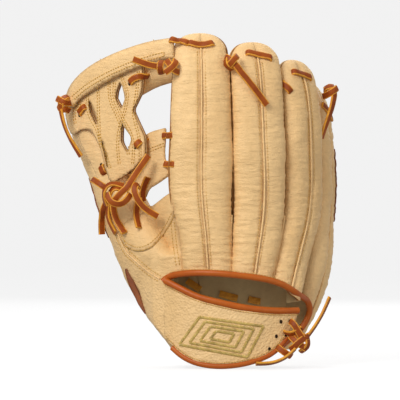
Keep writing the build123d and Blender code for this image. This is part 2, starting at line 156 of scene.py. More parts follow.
def material(name, color, rough, heights, strength=0.5, distance=0.0003, specular=0.4):
    """A material from a colour maker, a roughness and a sum of bump heights."""
    made = bpy.data.materials.new(name)
    made.use_nodes = True
    tree = made.node_tree
    shader = tree.nodes["Principled BSDF"]
    tree.links.new(color(tree), shader.inputs["Base Color"])
    spread = noise_value(tree, (300, 300, 300))
    rough_span = arithmetic(tree, "MULTIPLY", spread, 0.16)
    tree.links.new(arithmetic(tree, "ADD", rough_span, rough - 0.08), shader.inputs["Roughness"])
    shader.inputs["Specular IOR Level"].default_value = specular
    total = None
    for maker, weight in heights:
        part = arithmetic(tree, "MULTIPLY", maker(tree), weight)
        total = part if total is None else arithmetic(tree, "ADD", total, part)
    bump = node(tree, "ShaderNodeBump")
    bump.inputs["Strength"].default_value = strength
    bump.inputs["Distance"].default_value = distance
    tree.links.new(total, bump.inputs["Height"])
    tree.links.new(bump.outputs["Normal"], shader.inputs["Normal"])
    return made


def tinted(light, dark, scale=(14, 14, 9), shade_and_edge_dark_color=(0.30, 0.15, 0.05), reach=0.75):
    """Uneven colour, darker where a mesh attribute says so: painted shade in creases, seam grooves
    and deep places, and darker cut edges on the cut panels.
    """
    def color(tree):
        broad = noise_value(tree, scale, 4.0, 0.6)
        fine = noise_value(tree, (260, 260, 260), 2.0)
        cloud = ramp(tree, broad, 0.3, 0.7, dark, light)
        speck = ramp(tree, fine, 0.25, 0.75, (0.93, 0.93, 0.93), (1.04, 1.04, 1.04))
        base = mixed(tree, 1.0, cloud, speck, "MULTIPLY")
        # painted shade from a mesh attribute; on cut panels it also darkens the cut edges
        painted_shade_and_edge_dark = node(tree, "ShaderNodeAttribute", attribute_name="painted_shade_and_edge_dark")
        amount = arithmetic(tree, "MULTIPLY", painted_shade_and_edge_dark.outputs["Fac"], reach)
        return mixed(tree, amount, base, shade_and_edge_dark_color)
    return color


def grain(scale):
    """A maker of pebbled bump at a scale per metre."""
    return lambda tree: cell_value(tree, (scale, scale, scale))


def fuzz(x, y, z, detail=3.0):
    """A maker of noisy bump at a scale per metre along each axis."""
    return lambda tree: noise_value(tree, (x, y, z), detail)


TAN_LIGHT = (0.87, 0.585, 0.275)
TAN_DARK = (0.76, 0.475, 0.20)
SHELL = material(
    "tan_leather", tinted(TAN_LIGHT, TAN_DARK), 0.5,
    ((grain(900), 0.5), (fuzz(110, 110, 480, 5.0), 1.6), (fuzz(1800, 1800, 1800), 0.35)), 0.7,
    0.0009,
)
PEBBLED = material(
    "pebbled_leather", tinted((0.85, 0.57, 0.27), (0.74, 0.46, 0.19)), 0.52,
    ((grain(520), 1.2), (fuzz(700, 700, 700), 0.5), (fuzz(110, 110, 200, 5.0), 1.2)), 0.75, 0.0008,
)
LINING = material(
    "lining_leather", tinted((0.62, 0.45, 0.22), (0.47, 0.33, 0.15)), 0.68,
    ((grain(1300), 0.6), (fuzz(160, 160, 160), 0.8)), 0.4, 0.0003, 0.25,
)
RAW_EDGE = material(
    "raw_leather_edge", tinted((0.50, 0.22, 0.055), (0.28, 0.105, 0.022), (90, 90, 400)), 0.72,
    ((fuzz(2600, 2600, 900, 4.0), 1.0),), 0.7, 0.0004, 0.2,
)
LACE = material(
    "rawhide_lace", tinted((0.37, 0.080, 0.006), (0.22, 0.038, 0.003), (60, 60, 60),
        (0.09, 0.02, 0.004)),
    0.48, ((fuzz(1500, 1500, 1500), 0.8), (fuzz(220, 220, 700), 1.0)), 0.5, 0.0003, 0.2,
)
LACE_EDGE = material(
    "lace_raw_edge", tinted((0.80, 0.37, 0.035), (0.56, 0.21, 0.018), (150, 150, 150)), 0.6,
    ((fuzz(2400, 2400, 2400, 4.0), 1.0),), 0.6, 0.0003, 0.3,
)
BINDING = material(
    "rolled_binding", tinted((0.50, 0.115, 0.007), (0.40, 0.076, 0.004), (30, 30, 30),
        (0.14, 0.03, 0.004)),
    0.42, ((fuzz(1100, 1100, 1100), 0.5), (fuzz(260, 260, 260), 0.8)), 0.3, 0.0003, 0.28,
)
THREAD = material(
    "gold_thread", tinted((0.66, 0.38, 0.07), (0.50, 0.27, 0.04), (500, 500, 500)), 0.5,
    ((fuzz(4000, 4000, 4000), 1.0),), 0.5, 0.0002, 0.5,
)
BRIGHT_THREAD = material(
    "bright_gold_thread", tinted((0.78, 0.56, 0.15), (0.42, 0.27, 0.05), (200, 200, 200)), 0.3,
    ((fuzz(4000, 4000, 4000), 1.0),), 0.6, 0.0002, 0.8,
)
PIPING = material(
    "dark_piping", tinted((0.30, 0.085, 0.02), (0.14, 0.035, 0.01), (80, 80, 80)), 0.5,
    ((fuzz(1500, 1500, 1500), 1.0),), 0.4, 0.0003, 0.4,
)
FELT = material(
    "wool_felt", tinted((0.72, 0.70, 0.62), (0.58, 0.56, 0.48), (120, 120, 120)), 0.9,
    ((fuzz(2600, 2600, 2600, 5.0), 1.0),), 0.9, 0.0006, 0.1,
)
SHEET_PLASTIC = material(
    "stiffener_sheet", tinted((0.045, 0.045, 0.048), (0.03, 0.03, 0.032), (60, 60, 60)), 0.5,
    ((fuzz(900, 900, 900), 1.0),), 0.2, 0.0002, 0.4,
)
# a punched hole is drawn as a dark disc: painted shade of its inside
HOLE_SHADE = material(
    "painted_hole_shade", tinted((0.035, 0.016, 0.006), (0.02, 0.009, 0.004), (400, 400, 400)), 0.9,
    ((fuzz(2000, 2000, 2000), 1.0),), 0.3, 0.0002, 0.1,
)
PATCH = material(
    "brown_patch", tinted((0.40, 0.105, 0.018), (0.27, 0.06, 0.010), (60, 60, 60)), 0.5,
    ((fuzz(1500, 1500, 1500), 0.8), (grain(900), 0.6)), 0.5, 0.0004, 0.3,
)
BACKDROP = material(
    "pale_paper", tinted((0.26, 0.26, 0.26), (0.25, 0.25, 0.25), (2, 2, 2)), 0.9,
    ((fuzz(60, 60, 60), 1.0),), 0.02, 0.0001, 0.05,
)
BACKDROP_GLOW = 0.76
WORLD_STRENGTH = 0.46
backdrop_shader = BACKDROP.node_tree.nodes["Principled BSDF"]
backdrop_shader.inputs["Emission Color"].default_value = (1.0, 1.0, 1.0, 1)
backdrop_shader.inputs["Emission Strength"].default_value = BACKDROP_GLOW

# ---- camera, light and floor ---------------------------------------------------------------------
VIEW_CENTRE = (-31.2, 78.8)  # x, z
VIEW_WIDTH = 346.4
CAMERA_BACK = 3000.0
SENSOR = 36.0

camera_data = bpy.data.cameras.new("camera")
camera_data.sensor_width = SENSOR
camera_data.lens = SENSOR * CAMERA_BACK / VIEW_WIDTH
camera = bpy.data.objects.new("camera", camera_data)
camera.location = (VIEW_CENTRE[0] * MM, -CAMERA_BACK * MM, VIEW_CENTRE[1] * MM)
camera.rotation_euler = (pi / 2, 0, 0)
bpy.context.collection.objects.link(camera)
bpy.context.scene.camera = camera


def area_light(name, position, aim, size, power):
    """A square soft box, in metres."""
    data = bpy.data.lights.new(name, "AREA")
    data.size = size
    data.energy = power
    lamp = bpy.data.objects.new(name, data)
    lamp.location = position
    lamp.rotation_euler = (Vector(aim) - Vector(position)).to_track_quat("-Z", "Y").to_euler()
    bpy.context.collection.objects.link(lamp)


GLOVE_MIDDLE = (-0.03, 0.03, 0.08)
area_light("key", (-0.75, -1.05, 0.95), GLOVE_MIDDLE, 0.6, 17)
area_light("fill", (1.2, -1.2, 0.35), GLOVE_MIDDLE, 1.3, 5)
area_light("top", (0.0, 0.35, 1.5), GLOVE_MIDDLE, 1.0, 6)
area_light("behind", (0.3, 1.6, 0.9), GLOVE_MIDDLE, 1.3, 7)

world = bpy.data.worlds.new("studio")
world.use_nodes = True
world.node_tree.nodes["Background"].inputs["Color"].default_value = (1.0, 1.0, 1.0, 1)
world.node_tree.nodes["Background"].inputs["Strength"].default_value = WORLD_STRENGTH
bpy.context.scene.world = world
bpy.context.scene.view_settings.view_transform = "Standard"

# ---- mesh making ---------------------------------------------------------------------------------


def new_object(name, mesh, materials, crease=40.0):
    """An object for a mesh, smooth except at sharp edges."""
    for each in materials:
        mesh.materials.append(each)
    mesh.polygons.foreach_set("use_smooth", [True] * len(mesh.polygons))
    mesh.set_sharp_from_angle(angle=radians(crease))
    made = bpy.data.objects.new(name, mesh)
    bpy.context.collection.objects.link(made)
    return made


def baked(made):
    """The object's modifiers, applied to its mesh."""
    graph = bpy.context.evaluated_depsgraph_get()
    old = made.data
    made.data = bpy.data.meshes.new_from_object(made.evaluated_get(graph))
    made.modifiers.clear()
    bpy.data.meshes.remove(old)
    return made


def thicken(made, thickness, rim=1):
    """Leather of a thickness behind its outer skin, with a raw rim."""
    solid = made.modifiers.new("ply", "SOLIDIFY")
    solid.thickness = thickness * MM
    solid.offset = -1
    solid.material_offset_rim = rim
    return baked(made)


def skin_object(name, verts, faces, painted_shade_and_edge_dark, out, materials, merge=False):
    """A skin of points in metres that faces out, with its darkening (painted shade, or darker cut
    edges), and no loose points.
    """
    mesh = bpy.data.meshes.new(name)
    mesh.from_pydata(verts, [], faces)
    layer = mesh.attributes.new("painted_shade_and_edge_dark", "FLOAT", "POINT")
    layer.data.foreach_set("value", np.asarray(painted_shade_and_edge_dark, np.float32))
    work = bmesh.new()
    work.from_mesh(mesh)
    if merge:
        bmesh.ops.remove_doubles(work, verts=work.verts, dist=0.00002)
        bmesh.ops.dissolve_degenerate(work, edges=work.edges, dist=0.000002)
    else:
        loose = [v for v in work.verts if not v.link_faces]
        bmesh.ops.delete(work, geom=loose, context="VERTS")
    facing = sum((f.normal * f.calc_area() for f in work.faces), Vector())
    if facing.dot(Vector(out)) < 0:
        bmesh.ops.reverse_faces(work, faces=work.faces)
    work.to_mesh(mesh)
    work.free()
    return new_object(name, mesh, materials)


def skin_mesh(name, grids, out, materials, painted_shades=None):
    """One outer skin from grids of points (rows, columns, 3), merged where they meet."""
    verts, faces, painted_shade_and_edge_dark = [], [], []
    for index, grid in enumerate(grids):
        rows, cols = grid.shape[:2]
        start = len(verts)
        verts += [tuple(p) for p in (grid.reshape(-1, 3) * MM)]
        # painted shade of each grid, where given
        painted_shade_and_edge_dark += list((painted_shades[index] if painted_shades else np.zeros((rows, cols))).reshape(-1))
        corners = [start + r * cols + c for r in range(rows - 1) for c in range(cols - 1)]
        faces += [(a, a + 1, a + cols + 1, a + cols) for a in corners]
    return skin_object(name, verts, faces, painted_shade_and_edge_dark, out, materials, True)


def tree_of(pieces):
    """A search tree over the pieces' faces, in millimetres."""
    verts, faces = [], []
    for piece in pieces:
        start = len(verts)
        verts += [v.co / MM for v in piece.data.vertices]
        faces += [tuple(start + i for i in f.vertices) for f in piece.data.polygons]
    return BVHTree.FromPolygons(verts, faces)


BACKWARD = Vector((0, 1, 0))


def drop(tree, x, z, lift=0.0, ray=BACKWARD, start=-150.0):
    """The skin met at (x, z) by a line along Y, and the way it faces there."""
    spot, normal, _, _ = tree.ray_cast(Vector((x, start if ray.y > 0 else -start, z)), ray)
    if spot is None:
        return None, None
    if normal.dot(ray) > 0:
        normal = -normal
    return spot + normal * lift, normal


def nurbs(points, steps=10):
    """Points read from a NURBS spline with these control points, in the points' unit."""
    data = bpy.data.curves.new("route", "CURVE")
    data.dimensions = "3D"
    data.resolution_u = steps
    run = data.splines.new("NURBS")
    run.points.add(len(points) - 1)
    for spot, p in zip(run.points, points):
        spot.co = (*p, 1)
    run.order_u = min(3, len(points))
    run.use_endpoint_u = True
    holder = bpy.data.objects.new("route", data)
    mesh = bpy.data.meshes.new_from_object(holder)
    found = [v.co.copy() for v in mesh.vertices]
    bpy.data.objects.remove(holder)
    bpy.data.meshes.remove(mesh)
    bpy.data.curves.remove(data)
    return found


def even(path, pitch):
    """Points at a pitch along a path."""
    path = [Vector(p) for p in path]
    reach = [0.0]
    for a, b in zip(path, path[1:]):
        reach.append(reach[-1] + (b - a).length)
    count = max(int(round(reach[-1] / pitch)), 1)
    found = []
    k = 0
    for i in range(count + 1):
        at = reach[-1] * i / count
        while k < len(reach) - 2 and reach[k + 1] < at:
            k += 1
        span = reach[k + 1] - reach[k]
        found.append(path[k].lerp(path[k + 1], (at - reach[k]) / span if span else 0.0))
    return found


RIBBON = (  # across the width, through the thickness; the first five are the finished face
    (-0.37, 0.46), (-0.19, 0.5), (0.0, 0.53), (0.19, 0.5), (0.37, 0.46),
    (0.5, 0.24), (0.5, -0.3), (0.42, -0.5), (-0.42, -0.5), (-0.5, -0.3), (-0.5, 0.24),
)
FINISHED = 4  # faces of the ribbon that show the finished side


def sweep(bm, path, ways, profile, width, thick, side_material):
    """A closed bar along a path whose face looks the given ways, added to a bmesh."""
    rings = []
    count = len(path)
    for i, spot in enumerate(path):
        tangent = (path[min(i + 1, count - 1)] - path[max(i - 1, 0)]).normalized()
        u = i / (count - 1) * (len(ways) - 1)
        k = min(int(u), len(ways) - 2)
        way = Vector(ways[k]).lerp(Vector(ways[k + 1]), u - k)
        side = tangent.cross(way).normalized()
        up = side.cross(tangent).normalized()
        rings.append([
            bm.verts.new((spot + side * (a * width) + up * (b * thick)) * MM) for a, b in profile
        ])
    sides = len(profile)
    for ring, after in zip(rings, rings[1:]):
        for j in range(sides):
            face = bm.faces.new((ring[j], ring[(j + 1) % sides], after[(j + 1) % sides], after[j]))
            if side_material:
                face.material_index = side_material(j)
    for ring in (rings[0][::-1], rings[-1]):
        cap = bm.faces.new(ring)
        if side_material:
            cap.material_index = 1


def bars(name, runs, profile, width, thick, materials, crease, side_material=None):
    """One mesh of closed bars: each run is (path, ways that its face looks)."""
    bm = bmesh.new()
    for path, ways in runs:
        sweep(bm, path, ways, profile, width, thick, side_material)
    bmesh.ops.recalc_face_normals(bm, faces=bm.faces)
    mesh = bpy.data.meshes.new(name)
    bm.to_mesh(mesh)
    bm.free()
    return new_object(name, mesh, materials, crease)


def lace_side(j):
    """The material slot of a lace's side: finished faces first, then its raw golden edge."""
    return 0 if j < FINISHED else 1


def laces(name, runs):
    """Flat laces in one mesh: each run is (control points, ways that its face looks)."""
    paths = [(even(nurbs(points), LACE_STEP), ways) for points, ways in runs]
    leathers = (LACE, LACE_EDGE)
    return bars(name, paths, RIBBON, LACE_WIDTH, LACE_THICK, leathers, 50, lace_side)


ROUND = [(0.5 * cos(i * pi / 6), 0.5 * sin(i * pi / 6)) for i in range(12)]
HEX = [(0.5 * cos(i * pi / 3), 0.5 * sin(i * pi / 3)) for i in range(6)]


def cord_mesh(name, runs, width, thick, made_of):
    """Round or oval bars, such as a rolled binding or piping: runs of (points, ways)."""
    paths = [([Vector(p) for p in points], ways) for points, ways in runs]
    return bars(name, paths, ROUND, width, thick, (made_of,), 60)


def sew(name, body, rows, pitch=2.6, long=1.6, thick=0.8, made_of=THREAD, across=False,
        skin=None, nodes=()):
    """Short sewn stitches along rows of (point, normal) pairs, over whole skin only."""
    marks = []
    for row in rows:
        ways = [n for _, n in row]
        spots = even([p for p, _ in row], pitch)
        for i, (a, b) in enumerate(zip(spots, spots[1:])):
            along = (b - a).normalized()
            way = ways[min(int(i / (len(spots) - 1) * len(ways)), len(ways) - 1)]
            middle = (a + b) / 2
            if skin and skin.find_nearest(middle)[3] > 0.8:
                continue
            half = (way.cross(along).normalized() if across else along) * (long / 2)
            bow = way * (thick * 0.35)
            path = [
                middle - half - bow, middle - half * 0.5 + bow,
                middle + half * 0.5 + bow, middle + half - bow,
            ]
            marks.append((path, (way, way)))
    made = bars(name, marks, HEX, thick, thick, (made_of,), 70)
    return place_on(made, body, "embroidery_thread", *nodes)


def place_on(made, body, slot, *replaced, blend=None):
    """Rides a body, or is baked in place when given a blend; hides the nodes it stands for. Its
    finish, slot, is not used.
    """
    if blend:
        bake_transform(made)
    else:
        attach(made, body)
    if replaced:
        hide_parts(*replaced)
    return made


# ---- the stalls' shapes --------------------------------------------------------------------------


def spline(knots, values, at):
    """A smooth line through values at knots, straight beyond its ends."""
    knots = np.asarray(knots, float)
    values = np.asarray(values, float)
    at = np.asarray(at, float)
    slopes = np.gradient(values, knots)
    inside = np.clip(at, knots[0], knots[-1])
    i = np.clip(np.searchsorted(knots, inside) - 1, 0, len(knots) - 2)
    h = knots[i + 1] - knots[i]
    u = (inside - knots[i]) / h
    a, b, c, d = values[i], values[i + 1], slopes[i] * h, slopes[i + 1] * h
    smooth = a + c * u + (3 * (b - a) - 2 * c - d) * u**2 + (2 * (a - b) + c + d) * u**3
    end_slope = np.where(at < knots[0], slopes[0], slopes[-1])
    return smooth + (at - inside) * end_slope


def ease(low, high, at):
    """0 below low, 1 above high, smooth between."""
    u = np.clip((np.asarray(at, float) - low) / (high - low), 0, 1)
    return u * u * (3 - 2 * u)


FINGER_ROOT = 68  # height where the palm parts into stalls
FINGER_SHAPE = (  # share of the length, of the curl, of the width, of the thickness
    (0, 0, 1, 1), (0.5, 0.05, 1, 0.94), (0.8, 0.45, 0.98, 0.86), (1, 1, 0.93, 0.8),
)


def finger(wrist, base, top, tip, width, thick, turn, curl):
    """Sections (z, x, y, half width, half thickness, turn) of a finger that curls to the palm."""
    inward = (-sin(radians(turn)), cos(radians(turn)))
    rows = [wrist]
    for along, bend, w, t in FINGER_SHAPE:
        z = FINGER_ROOT + along * (tip - FINGER_ROOT)
        x = base[0] + along * (top - base[0]) + bend * curl * inward[0]
        rows.append((z, x, base[1] + bend * curl * inward[1], width * w, thick * t, turn))
    return rows


STALLS = {
    "index": [
        (16, -24.6, -1, 21.4, 14, 2), (48, -27, 0.5, 23, 15, 2.5), (78, -30, 1, 27, 15, 3),
        (146, -30.4, 1.7, 26.8, 14.1, 3), (193, -30.6, 6.8, 24.8, 12.9, 3),
        (224, -31.2, 14, 23, 12, 3),
    ],
    "middle": finger((16, 13.8, 1.5, 19, 14, 12), (19, 9), 18.8, 216.5, 23.8, 15, 20, 13),
    "ring": finger((16, 44.4, 15.5, 18, 13, 38), (54.4, 34.5), 59.5, 202, 22.8, 14, 48, 13),
    "pinky": [
        (-52, 43, 41, 11, 9, 62), (-28, 54, 42, 16.4, 12, 64), (0, 64, 46, 19, 13, 66),
        (34, 70.5, 58, 20.4, 13, 70), (68, 74.5, 72, 21, 12, 76), (125, 74.5, 76, 20.8, 12, 78),
        (155, 71, 76.5, 19.6, 11.5, 78), (184, 65.5, 77.5, 18, 10.5, 78),
    ],
    "thumb": [
        (-48, -44, 36, 19, 12, -60), (-12, -63.5, 33, 27, 15, -50), (30, -78.5, 33, 33, 17, -45),
        (68, -95, 45, 28, 16, -48), (100, -110, 58.5, 24, 15, -52), (135, -128, 68.5, 20, 13, -55),
        (167, -136, 71, 19, 11.5, -57),
    ],
}
CAP_WIDE = 18.0  # the tip's dome, seen from the back and from the side
CAP_THICK = 30.0
FULL = 0.86  # below 1, sections are fuller than an ellipse


def section(name, z):
    """Centre x, y, half width, half thickness, turn in radians and dome factor of a stall at z."""
    rows = STALLS[name]
    knots = [r[0] for r in rows]
    z = np.asarray(z, float)
    x, y, w, t, turn = (spline(knots, [r[k] for r in rows], z) for k in range(1, 6))
    tip = knots[-1]
    wide = np.clip((z - tip + CAP_WIDE) / CAP_WIDE, 0, 1)
    flat = np.clip((z - tip + CAP_THICK) / CAP_THICK, 0, 1)
    dome = np.maximum(1 - wide**2.3, 0) ** (1 / 2.3)
    return x, y, w * dome, t * np.sqrt(np.maximum(1 - flat**2.2, 0)), np.radians(turn), dome


def stall_skin(name, z, angle, lift=0.0):
    """Points of a stall's skin at heights z and angles in degrees, raised by lift."""
    x, y, w, t, turn, dome = section(name, z)
    phi = np.radians(angle)
    across, through = np.cos(phi), np.sin(phi)
    reach_w = (w + lift * dome) * np.sign(across) * np.abs(across) ** FULL
    reach_t = (t + lift * dome) * np.sign(through) * np.abs(through) ** FULL
    px = x + reach_w * np.cos(turn) - reach_t * np.sin(turn)
    py = y + reach_w * np.sin(turn) + reach_t * np.cos(turn)
    return np.stack([px, py, z + 0 * px], axis=-1)


def roughen(grid, scale, amount, seed=0.0):
    """Noise over a grid of points, at a scale per millimetre along each axis."""
    flat = grid.reshape(-1, 3) * np.asarray(scale) + seed
    found = [noise.fractal(Vector(p), 1.0, 2.0, 3) for p in flat]
    return np.asarray(found).reshape(grid.shape[:-1]) * amount


def heights(low, tip, step=1.25, fine=10):
    """Levels up a stall, closer together in the dome of its tip."""
    dome = [tip - CAP_WIDE * (1 - sin(i / fine * pi / 2)) for i in range(1, fine + 1)]
    dome[-1] = tip - 0.02
    return np.concatenate([np.arange(low, tip - CAP_WIDE, step), [tip - CAP_WIDE], dome])


def back_relief(name, z, angle):
    """Two soft lobes each side of a sewn seam, with a fold of leather beside it."""
    _, _, w, _, _, dome = section(name, z)
    s = (angle - 270.0) / 90.0
    across = np.abs(s) * np.maximum(w, 1) * 1.25
    lobes = 1.5 * (1 - (2 * np.clip(np.abs(s), 0, 1) - 1) ** 2) - 0.9
    groove = -1.2 * np.exp(-((across / 2.0) ** 2))
    return (lobes + groove) * np.minimum(dome, 1)


SKINS = {}  # outer leather pieces by name, for dropping laces and stitches on


def back_panel(node_name, grids, out, painted_shades, body, blend=None):
    """A sewn back panel of leather that stands for the CAD node of its name."""
    made = skin_mesh(f"{node_name}_leather", grids, out, (SHELL, RAW_EDGE), painted_shades)
    SKINS[node_name] = thicken(made, LEATHER)
    place_on(made, body, "shell_leather", node_name, blend=blend)


def back_lift(name, zz, aa):
    """How far a worn finger back stands off its stall: seams, soft waves and cross folds."""
    base = stall_skin(name, zz, aa)
    seed, folds = (13.0, 0.6) if name == "pinky" else (3.0, 0.4 + 0.4 * ease(130, 40, zz))
    waves = roughen(base, (0.028, 0.028, 0.020), 1.6, seed)
    return back_relief(name, zz, aa) + waves + roughen(base, (0.05, 0.05, 0.36), folds, seed + 4)


def back_painted_shade(aa, reach, amount):
    """Painted shade in the groove of a back's seam and towards its sides, where the stalls crease.
    """
    s = np.abs((aa - 270) / 90)
    return 0.3 * np.exp(-((s / 0.05) ** 2)) + amount * ease(reach, 1, s)


def opening_edge(x):
    """Height of the bound edge of the opening over x."""
    return spline(
        (-60, -51, -44, -27, -6, 15, 31, 45, 54, 62),
        (11.5, 13.2, 14.6, 15.5, 14, 11.5, 8.5, 3, -4, -10), x
    )


FINGER_BACKS = {
    "index": ("index_back_web_side", "index_back_middle_side"),
    "middle": ("middle_back_index_side", "middle_back_ring_side"),
    "ring": ("ring_back_middle_side", "ring_back_pinky_side"),
}
BACK_FOOT = 12.0  # lowest level of a finger's back, before its foot meets the bound edge
EDGE_REACH = 40.0  # height below which its levels slant towards that edge
for name, panels in FINGER_BACKS.items():
    for panel_name, sector in zip(panels, ((180, 270), (270, 360))):
        levels = heights(BACK_FOOT, STALLS[name][-1][0])
        zz, aa = np.meshgrid(levels, np.linspace(*sector, 46), indexing="ij")
        edge = opening_edge(stall_skin(name, zz, aa)[..., 0])
        slant = edge + (zz - BACK_FOOT) / (EDGE_REACH - BACK_FOOT) * (EDGE_REACH - edge)
        zz = np.where(zz < EDGE_REACH, slant, zz)
        grid = stall_skin(name, zz, aa, back_lift(name, zz, aa))
        # with painted shade along the seam and the creased sides
        back_panel(panel_name, [grid], (0, -1, 0), [back_painted_shade(aa, 0.86, 0.75)], "hand_body")

# The little finger's back runs down beside the strap, where its bound edge turns round the opening
PINKY_EDGE = (  # z, angle where the panel starts
    (-52, 180), (-47, 190), (-39.5, 228), (-27, 250), (-17, 248), (-10, 222), (-5, 198), (2, 184),
    (10, 180),
)
PINKY_EDGE_Z = [r[0] for r in PINKY_EDGE]
PINKY_EDGE_ANGLE = [r[1] for r in PINKY_EDGE]


for panel_name, first, last in (
    ("pinky_back_ring_side", 180, 270), ("pinky_back_outer_side", 270, 360),
):
    levels = heights(-52, STALLS["pinky"][-1][0])
    zz, uu = np.meshgrid(levels, np.linspace(0, 1, 42), indexing="ij")
    start = np.clip(spline(PINKY_EDGE_Z, PINKY_EDGE_ANGLE, np.clip(zz, -52, 10)), 180, 262)
    low = start if first == 180 else np.full_like(zz, first)
    aa = low + (last - low) * uu
    grid = stall_skin("pinky", zz, aa, back_lift("pinky", zz, aa))
    # with painted shade along the seam and the creased sides
    back_panel(panel_name, [grid], (1, -0.4, 0), [back_painted_shade(aa, 0.88, 0.6)], "pinky_side")

# The thumb's back, split by a sewn seam from the pebbled panel that carries the strap
THUMB_SEAM_X = (-110, -103, -97, -89, -82.3, -73.6, -66, -58, -50, -42)
THUMB_SEAM_Z = (62, 50, 34.6, 27.7, 21.6, 14.7, 10.4, 12.4, 14.4, 15.6)


def thumb_seam(x):
    """Height of the seam between the thumb's back and the pebbled panel over x."""
    return spline(THUMB_SEAM_X, THUMB_SEAM_Z, x)


def thumb_lift(zz, aa, base, pebbled=False):
    """Relief of the thumb's back: full over the crotch, with a soft ridge up the stall."""
    s = (aa - 270) / 90
    ridge = 0.8 * (1 - np.abs(s)) * ease(55, 95, zz)
    full = 3.0 * np.exp(-(((s - 0.25) / 0.55) ** 2)) * ease(110, 60, zz) * ease(-60, 0, zz)
    lift = ridge + full + roughen(base, (0.026, 0.026, 0.022), 1.8, 23.0)
    return lift + roughen(base, (0.10, 0.10, 0.25), 0.45 if pebbled else 0.25, 29.0)


def thumb_grid(levels, angles, low, high, pebbled=False):
    """The thumb's back between two lines over x, at levels from 0 to 1 and angles."""
    zz = levels * 60
    for _ in range(6):
        x = stall_skin("thumb", zz, angles)[..., 0]
        zz = low(x) + levels * (high(x) - low(x))
    lift = thumb_lift(zz, angles, stall_skin("thumb", zz, angles), pebbled)
    return root_pull(stall_skin("thumb", zz, angles, lift), angles), zz


def root_pull(grid, angles):
    """The low part of the thumb's back, drawn out to meet the strap's sewn end."""
    x, y, z = grid[..., 0], grid[..., 1], grid[..., 2]
    strap_y = 1.5 + np.maximum(-62 - x, 0) * 0.62 + np.maximum(x + 61.5, 0) * 0.5
    strap_y = strap_y + np.maximum(-72 - x, 0) * 1.1
    near = ease(-90, -68, x) * ease(34, 6, z) * ease(-72, -56, z) * ease(204, 262, angles)
    pulled = y + (strap_y - y) * near
    return np.stack([x, pulled, z], axis=-1)


BRIDGE_COLUMNS = 9


def crotch_fill(grid, angles):
    """The thumb's back beside the index finger, drawn out flat between the two."""
    filled = grid.copy()
    for row, angle in zip(filled, angles):
        z = row[0, 2]
        share = float(ease(84, 62, z))
        if not share:
            continue
        start = int(np.argmin(np.abs(angle - 318)))
        a = row[start].copy()
        side = stall_skin("index", np.array(z), np.array(188.0))
        for k in range(start, len(row)):
            along = (row[k, 0] - a[0]) / (side[0] - a[0])
            flat = a[1] + (side[1] - a[1]) * along - 2.0 * sin(pi * min(max(along, 0), 1))
            row[k, 1] += (min(flat, row[k, 1]) - row[k, 1]) * share
    return filled


def crotch_bridge(grid):
    """Leather from the thumb's back across to the side of the index finger."""
    rows = [row for row in grid[:, -1] if row[2] < 74]
    strip = []
    for edge in rows:
        side = stall_skin("index", np.array(edge[2]), np.array(188.0)) + np.array((1.5, 0.8, 0))
        t = np.linspace(0, 1, BRIDGE_COLUMNS)[:, None]
        strip.append(edge + (side - edge) * t - np.array((0, 0.8, 0)) * np.sin(pi * t))
    return np.array(strip)


THUMB_TIP = STALLS["thumb"][-1][0]
for panel_name, sector in (
    ("thumb_back_outer_side", (180, 270)), ("thumb_back_web_side", (270, 360)),
):
    shares = heights(0, THUMB_TIP) / THUMB_TIP
    levels, aa = np.meshgrid(shares, np.linspace(*sector, 46), indexing="ij")
    grid, zz = thumb_grid(levels, aa, thumb_seam, lambda x: np.full_like(x, THUMB_TIP))
    s = np.abs((aa - 270) / 90)
    # painted shade towards the sides of the thumb's back, up the stall
    grids, painted_shades = [grid], [0.5 * ease(0.9, 1, s) * ease(60, 90, zz)]
    blend = None
    if panel_name == "thumb_back_web_side":
        grids[0] = grid = crotch_fill(grid, aa)
        grids.append(crotch_bridge(grid))
        # painted shade in the crotch, darker towards the index finger
        shade = 0.7 * ease(0.7, 1, np.linspace(0, 1, BRIDGE_COLUMNS))
        painted_shades.append(np.tile(shade, (len(grids[1]), 1)))
        blend = ("hand_body", (-70, 10, 40), (-48, 10, 42.9))
    back_panel(panel_name, grids, (-0.6, -1, 0), painted_shades, "thumb_side", blend)

# The pebbled panel: its columns lean over to keep clear of the strap's foot
ROOT_FOOT = -50.0
levels, aa = np.meshgrid(np.linspace(0, 1, 60), np.linspace(180, 345, 90), indexing="ij")
aa = 180 + (aa - 180) * (102 + 63 * ease(0, 0.8, levels)) / 165
grid, _ = thumb_grid(levels, aa, lambda x: np.full_like(x, ROOT_FOOT), thumb_seam, True)
made = skin_mesh("strap_root_panel", [grid], (-0.6, -1, 0), (PEBBLED, RAW_EDGE))
SKINS["strap_root_panel"] = thicken(made, LEATHER)
place_on(made, "thumb_side", "shell_leather", blend=("hand_body", (-78, 6, -20), (-64, 3, -20)))

# ---- palm ----------------------------------------------------------------------------------------
PALM_LEVELS = {  # plan points (x, y) from the thumb's far edge to the little finger's
    -60: ((-51, 54.5), (-38, 51.5), (-22, 47.6), (0, 45), (20, 46.5), (37, 51.5), (46.5, 50.5)),
    0: ((-87, 55.5), (-56, 49), (-30, 38.8), (-5, 35), (20, 38.5), (43, 50), (71.2, 63)),
    67: ((-113.5, 67), (-75, 45), (-42, 24), (-15, 17), (20, 26), (50, 60), (79, 93)),
}
THUMB_FOOT, CROTCH, INDEX_FOOT, MIDDLE_FOOT = 0, 1.0, 1.6, 3.1
RING_FOOT, PINKY_FOOT, PALM_END = 4.05, 5.1, 6


